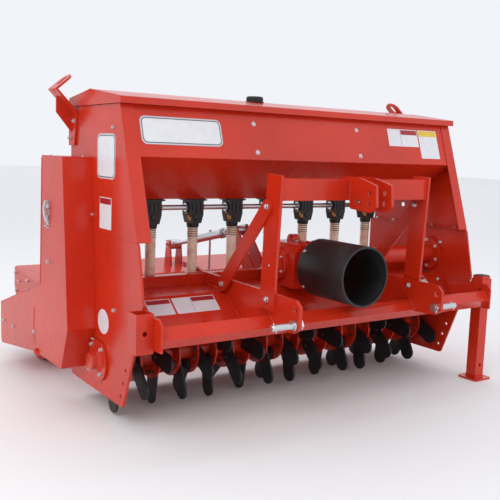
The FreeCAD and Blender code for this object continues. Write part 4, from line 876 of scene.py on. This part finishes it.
@piece("zinc_steel")
def hinge_pins(bm):
    for hinge_x in HINGE_XS:
        for side, out in SIDES:
            revolve(bm, (hinge_x + side * 25, HINGE_Y, HINGE_Z), out, [(0, 6), (2.4, 6), (3.4, 4.6)], 20)
            for z in (1068, 1052):
                dome(bm, (hinge_x + side * 36, REAR_PANEL_Y, z), Y_WAY, 3.6)


@piece("red_paint")
def hinge_leaves(bm):
    for hinge_x in HINGE_XS:
        leaf = laid(rounded_box(88, 28, 5), (hinge_x, REAR_PANEL_Y, 1060), -X_WAY, Z_WAY)
        slab(bm, leaf, (0, 1.8, 0))


@piece("red_paint", "lid", sharp=80)
def lid_welds(bm):
    for side in (-1, 1):
        bead(bm, at_x(side * (LID_HALF - 1.2), [(y0, z0 - 0.8) for y0, z0 in LID_LINE]), 1.5, X_WAY)


@piece("zinc_steel", "lid")
def lid_studs(bm):
    for side, out in SIDES:
        revolve(bm, (side * (LID_HALF - 2.5), 20, 1096), -out, [(0, 7), (6, 7), (7, 5.5)], 6)


@piece("black_plastic", "lid")
def lid_seal(bm):
    for side in (-1, 1):
        ends = [(y0, PANEL_TOP_Z + 1.0 + 6) for y0 in SEAL_YS]
        path = divided(at_x(side * (HALF_WIDTH - 16), ends), 40)
        sweep(bm, path, [4.0] * len(path), 10, Z_WAY)


LATCH_Y, LATCH_Z = 226, 703
LEVER_CURVE = ((6, 39), (10, 39), (17, 13), (14, -17), (8, -35), (4, -33), (10, -13), (12, 11))
KEEPER_HOOK = ((2, -48), (10, -51), (10, -55), (2, -57))
COVER_BOLTS = ((222, 520), (374, 225), (640, 190), (770, 190))
COVER_DOMES = ((-800, 120, 904), (-872, 250, 904))
COVER_SEAM = ((291, 896), (309, 424), (812, 262))
FOOT_CAP = [(0, 20), (3, 20), (9, 17), (13, 11), (15, 4)]


# The toggle latch, bolts, tab, seam and folded edge of the seed-drive cover.
def latch_points(pairs, y):
    return [(COVER_X - out, y, LATCH_Z + up) for out, up in pairs]


@piece("zinc_steel", replaces=("cover_latch",))
def latch_parts(bm):
    plate = laid(rounded_box(34, 78, 4), (COVER_X, LATCH_Y, LATCH_Z), -Y_WAY, Z_WAY)
    slab(bm, plate, (-2.0, 0, 0))
    for up in (30, -28):
        dome(bm, (COVER_X - 2, LATCH_Y, LATCH_Z + up), -X_WAY, 3)
    for y in (LATCH_Y - 12, LATCH_Y + 12):
        cheek = ((2, -1.2, -13), (2, 1.2, -13), (14, 1.2, -9), (14, -1.2, -9))
        slab(bm, [(COVER_X - out, y + dy, LATCH_Z + up) for out, dy, up in cheek], (0, 0, 22))
    revolve(bm, (COVER_X - 9, LATCH_Y - 15, LATCH_Z), Y_WAY, [(0, 3.4), (30, 3.4)], 14)
    slab(bm, latch_points(LEVER_CURVE, LATCH_Y - 9), (0, 18, 0))
    for y in (LATCH_Y - 11, LATCH_Y + 11):
        path = divided(latch_points(((8, -3), (7, -31), (5, -43)), y), 5)
        sweep(bm, path, [2.0] * len(path), 8, Y_WAY)
    keeper = laid(rounded_box(26, 20, 3), (COVER_X, LATCH_Y, LATCH_Z - 51), -Y_WAY, Z_WAY)
    slab(bm, keeper, (-2.0, 0, 0))
    slab(bm, latch_points(KEEPER_HOOK, LATCH_Y - 12), (0, 24, 0))


@piece("zinc_steel")
def cover_bolts(bm):
    bolts(bm, at_x(COVER_X, COVER_BOLTS), -X_WAY, 8)
    for place in COVER_DOMES:
        dome(bm, place, Z_WAY, 5)


@piece("red_paint")
def cover_hems(bm):
    seam = divided(at_x(COVER_X - 0.2, COVER_SEAM), 30)
    sweep(bm, seam, [1.6] * len(seam), 8)
    slab(bm, laid(rounded_box(26, 34, 6), (-HALF_WIDTH, 72, 700), -Y_WAY, Z_WAY), (-3.0, 0, 0))
    tab = ((3, 60), (3, 84), (16, 84), (16, 60))
    slab(bm, [(-HALF_WIDTH - out, y, 690) for out, y in tab], (0, 0, 3))
    fold = ((0, 386), (1.4, 386), (1.4, 389), (0, 389))
    slab(bm, [(COVER_X - out, y, 170) for out, y in fold], (0, -6, 150))
    revolve(bm, (COVER_X + 16, 378, 142), (-0.6, 0, -0.8), FOOT_CAP, 28)


@piece("zinc_steel")
def cover_tab_bolt(bm):
    bolt(bm, (-HALF_WIDTH - 3, 66, 704), -X_WAY, 6)


# ---------------- rotor and input shaft
DISC_COUNT, DISC_PITCH, DISC_PHASE, ROTOR_START = 20, 78.0, -36.0, 56.0
DISC_XS = [(i - (DISC_COUNT - 1) / 2) * DISC_PITCH for i in range(DISC_COUNT)]
BLADE_FACE, BLADE_BOLT_R = 12.0, 70


# Blade bolts, disc welds and the tube's end rings.
@piece("dark_bolt", "rotor", slot="blade_steel")
def blade_bolts(bm):
    for i, x in enumerate(DISC_XS):
        for k in range(4):
            side = 1 if k % 2 == 0 else -1
            turn = radians(ROTOR_START + i * DISC_PHASE + k * 90)
            out = Vector((0, sin(turn), -cos(turn)))
            across = Vector((0, cos(turn), sin(turn)))
            for step in (-15, 15):
                centre = Vector((x, 0, ROTOR_Z)) + out * BLADE_BOLT_R + across * step
                bolt(bm, centre + X_WAY * side * BLADE_FACE, X_WAY * side, 7.5)
                revolve(bm, centre - X_WAY * side * 4, -X_WAY * side, [(0, 7.2), (6, 7.2), (7, 6)], 6)


@piece("red_paint", "rotor", sharp=80)
def disc_welds(bm):
    for x in DISC_XS:
        for side in (-1, 1):
            ring_bead(bm, (x + side * 4, 0, ROTOR_Z), X_WAY, 38.6, 3.2)


@piece("blade_steel", "rotor")
def rotor_end_rings(bm):
    for side, out in SIDES:
        washer(bm, (side * (PLATE_IN - 19), 0, ROTOR_Z), out, 50, 25.4, 8.0)
        washer(bm, (side * (PLATE_IN - 10), 0, ROTOR_Z), out, 44, 25.4, 6.0)


SPLINES = 6
ROOT_R, CREST_R, SEAT_R = 14.2, 17.4, 17.5


# The splined input shaft, with its locking groove.
def spline_section(y, root, crest):
    angles = ((-22, root), (-15, crest), (-5, crest), (5, crest), (15, crest), (22, root), (30, root))
    points = []
    for i in range(SPLINES):
        for offset, radius in angles:
            turn = radians(60 * i + offset)
            points.append(Vector((radius * cos(turn), y, DRIVE_Z + radius * sin(turn))))
    return points


@piece("zinc_steel", "pto", replaces=("input_shaft",))
def splined_shaft(bm):
    from_tip = ((0, 12.6, 14.5), (3, ROOT_R, CREST_R), (38, ROOT_R, CREST_R), (39, ROOT_R, 14.6),
                (46, ROOT_R, 14.6), (47, ROOT_R, CREST_R))
    from_seat = ((26, ROOT_R, CREST_R), (20, 17.2, CREST_R), (1, CREST_R, SEAT_R))
    rows = [spline_section(SHAFT_TIP_Y + step, root, crest) for step, root, crest in from_tip]
    skin(bm, rows + [spline_section(GEARBOX_HUB_Y - step, root, crest) for step, root, crest in from_seat])
    revolve(bm, (0, GEARBOX_HUB_Y, DRIVE_Z), Y_WAY, [(0, 19.0), (1.5, 20), (118, 20), (120, 18.5)], 40)


# ---------------- flap, roller and turnbuckle
FLAP_RIB_XS = range(-600, 601, 200)
FLAP_RIVET_XS = range(-650, 651, 100)
FLAP_FACE = 2.5


# Ribs, rivets and end collars on the levelling flap.
@piece("red_paint", "flap")
def flap_ribs(bm):
    for x in FLAP_RIB_XS:
        loops = []
        for root_z, reach, tip_z in ((280, 16, 270), (62, 10, 72)):
            corners = ((-2, FLAP_FACE, root_z), (2, FLAP_FACE, root_z), (2, reach, tip_z), (-2, reach, tip_z))
            loops.append([(x + dx, FLAP_Y + dy, z) for dx, dy, z in corners])
        skin(bm, loops)
        bead(bm, [(x - 12, FLAP_Y + 4, FLAP_Z - 9), (x + 12, FLAP_Y + 4, FLAP_Z - 9)], 2.2, Z_WAY)


@piece("zinc_steel", "flap")
def flap_rivets(bm):
    for x in FLAP_RIVET_XS:
        dome(bm, (x, FLAP_Y + FLAP_FACE, 66), Y_WAY, 4)
        dome(bm, (x, FLAP_Y - FLAP_FACE, 66), -Y_WAY, 4)
    for side, out in SIDES:
        washer(bm, (side * (PLATE_IN - 12), FLAP_Y, FLAP_Z), out, 14, 8.2, 6.0)


ROLLER_ARM_OUT = HALF_WIDTH - 18.0
ROLLER_ARM_IN = ROLLER_ARM_OUT - 8
ROLLER_HALF = ROLLER_ARM_IN - 15
ROLLER_BORE_R, FLANGE_T = 20.6, 9
FLANGE_RADII = (50, 50, 58, 64, 58, 50)     # a four-lobed flange, every 15 degrees
CARRIER_BOLTS = ((1012, 350), (960, 318), (1000, 268), (843, 339), (843, 297))
CARRIER_DOMES = ((500, 300), (560, 290))
ROLLER_HOOD_XS = (-650, -390, -130, 130, 390, 650)
POST_FACES = (26.5, 34.5)


# Bearing flanges, hub bolts and welds on the roller and its frame.
@piece("zinc_steel", "roller_carrier")
def carrier_bolts(bm):
    for side, out in SIDES:
        bolts(bm, at_x(side * ROLLER_ARM_OUT, CARRIER_BOLTS), out, 9)
        face = side * (ROLLER_ARM_OUT + FLANGE_T)
        bolts(bm, circle(face, ROLLER_Y, ROLLER_R, 46, range(45, 405, 90)), out, 8)
        for y, z in CARRIER_DOMES:
            dome(bm, (side * ROLLER_ARM_OUT, y, z), out, 6)
    for x in ROLLER_HOOD_XS:
        dome(bm, (x, 1030, 330), Y_WAY, 6)
        dome(bm, (x, 1000, 377.1), Vector((0, -0.096, 0.995)), 5)


@piece("black_plastic", "roller_carrier")
def roller_flanges(bm):
    turns = [radians(15 * i) for i in range(24)]
    radii = [FLANGE_RADII[i % 6] for i in range(24)]
    plate = [(cos(turn) * radius, sin(turn) * radius) for turn, radius in zip(turns, radii)]
    bore = [(cos(turn) * ROLLER_BORE_R, sin(turn) * ROLLER_BORE_R) for turn in turns]
    for side, out in SIDES:
        centre = (side * ROLLER_ARM_OUT, ROLLER_Y, ROLLER_R)
        frame_ring(bm, centre, Y_WAY * side, Z_WAY, plate, bore, 9.0)
    for side, out in SIDES:
        x = side * (ROLLER_ARM_OUT + FLANGE_T)
        washer(bm, (x, ROLLER_Y, ROLLER_R), out, 36, ROLLER_BORE_R, 3.0)


@piece("red_paint", "roller_carrier", sharp=80)
def carrier_welds(bm):
    for side in (-1, 1):
        x = side * (ROLLER_ARM_IN - 1)
        bead(bm, at_x(x, [(741, 349), (1026, 376)]), 2.8, X_WAY)
        bead(bm, at_x(x, [(1027, 372), (1027, 304)]), 2.8, X_WAY)
        for face in POST_FACES:
            bead(bm, at_x(side * face, [(869, 366), (933, 372)]), 2.8, X_WAY)
        ring_bead(bm, (side * ROLLER_ARM_OUT, PIVOT_Y, PIVOT_Z), X_WAY, 25.8, 2.6)


@piece("red_paint", "roller", sharp=80)
def roller_hubs(bm):
    for side, out in SIDES:
        weld = (side * (ROLLER_HALF - 17.4), ROLLER_Y, ROLLER_R)
        ring_bead(bm, weld, X_WAY, 21.4, 3.0)
        ring_bead(bm, weld, X_WAY, ROLLER_R - 7.6, 3.0)
        washer(bm, (side * (ROLLER_HALF - 18), ROLLER_Y, ROLLER_R), out, 44, 20.4, 7.0)


@piece("zinc_steel", "roller")
def roller_axle_bolts(bm):
    for side, out in SIDES:
        end = (side * (ROLLER_ARM_OUT + 6), ROLLER_Y, ROLLER_R)
        revolve(bm, end, out, [(0, 13), (2.5, 13), (3, 12)], 20)
        revolve(bm, end, out, [(2.8, 9.5), (7.4, 9.5), (8.4, 8)], 6)
        face = side * (ROLLER_HALF - 18)
        bolts(bm, circle(face, ROLLER_Y, ROLLER_R, 60, range(0, 360, 60)), out, 7)


@piece("zinc_steel", "roller_carrier")
def pivot_bolts(bm):
    for side, out in SIDES:
        place = (side * (HALF_WIDTH + 9), PIVOT_Y, PIVOT_Z)
        revolve(bm, place, out, [(0, 13), (2.4, 13), (3, 12)], 24)
        revolve(bm, place, out, [(2.8, 10), (9, 10), (10.4, 8.4)], 6)


LINK_WAY = Vector((0, TURN_REAR[0] - TURN_FRONT[0], TURN_REAR[1] - TURN_FRONT[1]))
LINK_LENGTH = LINK_WAY.length
LINK_WAY = LINK_WAY.normalized()
BARREL_LOW, BARREL_HIGH = 115.0, 385.0
BARREL_MIDDLE = (BARREL_LOW + BARREL_HIGH) / 2
EYE = [(-25, 12.0), (-25, 22.5), (-22.5, 25), (22.5, 25), (25, 22.5), (25, 12.0)]
ROD_NECK = [(0, 10.6), (2, 11.0), (26, 11.0), (31, 13.2), (32, 13.2)]
THREAD_PITCH = 3.0


def on_link(distance):
    """A point along the turnbuckle from its front eye."""
    return Vector((0, TURN_FRONT[0], TURN_FRONT[1])) + LINK_WAY * distance


def threads(bm, start, end, crest, root):
    """A threaded length along the turnbuckle."""
    pitch = THREAD_PITCH
    count = int((end - start) / pitch)
    profile = []
    for i in range(count):
        profile += [(i * pitch, root), (i * pitch + pitch * 0.4, crest), (i * pitch + pitch * 0.6, crest)]
    profile.append((count * pitch, root))
    revolve(bm, on_link(start), LINK_WAY, profile, 20)


# The threaded rod and eye, lock nut, collars and tommy-bar ends of the turnbuckle.
@piece("zinc_steel", "link_rod", replaces=("turnbuckle_rod",))
def threaded_rod(bm):
    revolve(bm, on_link(LINK_LENGTH), X_WAY, EYE, 40, closed=True)
    threads(bm, BARREL_MIDDLE + 70, LINK_LENGTH - 52, 11.0, 10.0)
    revolve(bm, on_link(LINK_LENGTH - 54), LINK_WAY, ROD_NECK, 24)


@piece("zinc_steel", "link_barrel", sharp=50)
def barrel_hardware(bm):
    threads(bm, 46, BARREL_LOW - 22, 11.9, 10.9)
    revolve(bm, on_link(BARREL_LOW - 21), LINK_WAY, [(0, 17), (2, 19), (16, 19), (18, 17)], 6)
    washer(bm, on_link(BARREL_HIGH), LINK_WAY, 19.0, 11.5, 2.6)
    for distance in (BARREL_LOW + 1, BARREL_HIGH - 8):
        washer(bm, on_link(distance), LINK_WAY, 20.6, 18.0, 6.0)
    bar = on_link(BARREL_MIDDLE)
    for step, sign in ((-178, -1), (28, 1)):
        knob = [(-4, 5.4), (-3, 7.4), (1, 7.8), (2, 6.4)]
        revolve(bm, (0, bar.y, bar.z + step), Z_WAY * sign, knob, 18)
    ring_bead(bm, on_link(BARREL_MIDDLE) + Z_WAY * 18.4, Z_WAY, 6.0, 2.2)


def pins(bm, place):
    across = Vector((0, 0.4, 0.92))
    for side, out in SIDES:
        washer(bm, (side * 34.0, *place), out, 16, 9.8, 2.4)
        start = Vector((side * 34.0 + side * 5.5, *place)) - across * 14
        revolve(bm, start, across, [(0, 1.0), (0.8, 1.7), (27, 1.7), (28, 1.0)], 8)


add_piece("front_pin_clips", "frame", "zinc_steel", lambda bm: pins(bm, TURN_FRONT))
add_piece("rear_pin_clips", "roller_carrier", "zinc_steel", lambda bm: pins(bm, TURN_REAR))


LEG_X, LEG_Y = sum(span("parking_leg", 0)) / 2, sum(span("parking_leg", 1)) / 2
LEG_TOP_Z = span("parking_leg", 2)[1]
LEG_HALF, FOOT_TOP_Z = 25.5, 9


# The parking leg's foot weld and its top cap.
@piece("red_paint", "leg", sharp=80)
def leg_welds(bm):
    corners = ((-1, -1), (1, -1), (1, 1), (-1, 1), (-1, -1))
    bead(bm, [(LEG_X + i * LEG_HALF, LEG_Y + j * LEG_HALF, FOOT_TOP_Z) for i, j in corners], 3.0)


@piece("black_plastic", "leg")
def leg_cap(bm):
    slab(bm, laid(rounded_box(49, 49, 5), (LEG_X, LEG_Y, LEG_TOP_Z), X_WAY, Y_WAY), (0, 0, 1.6))
    slab(bm, laid(rounded_box(40, 40, 8), (LEG_X, LEG_Y, LEG_TOP_Z + 1.6), X_WAY, Y_WAY), (0, 0, 1.2))
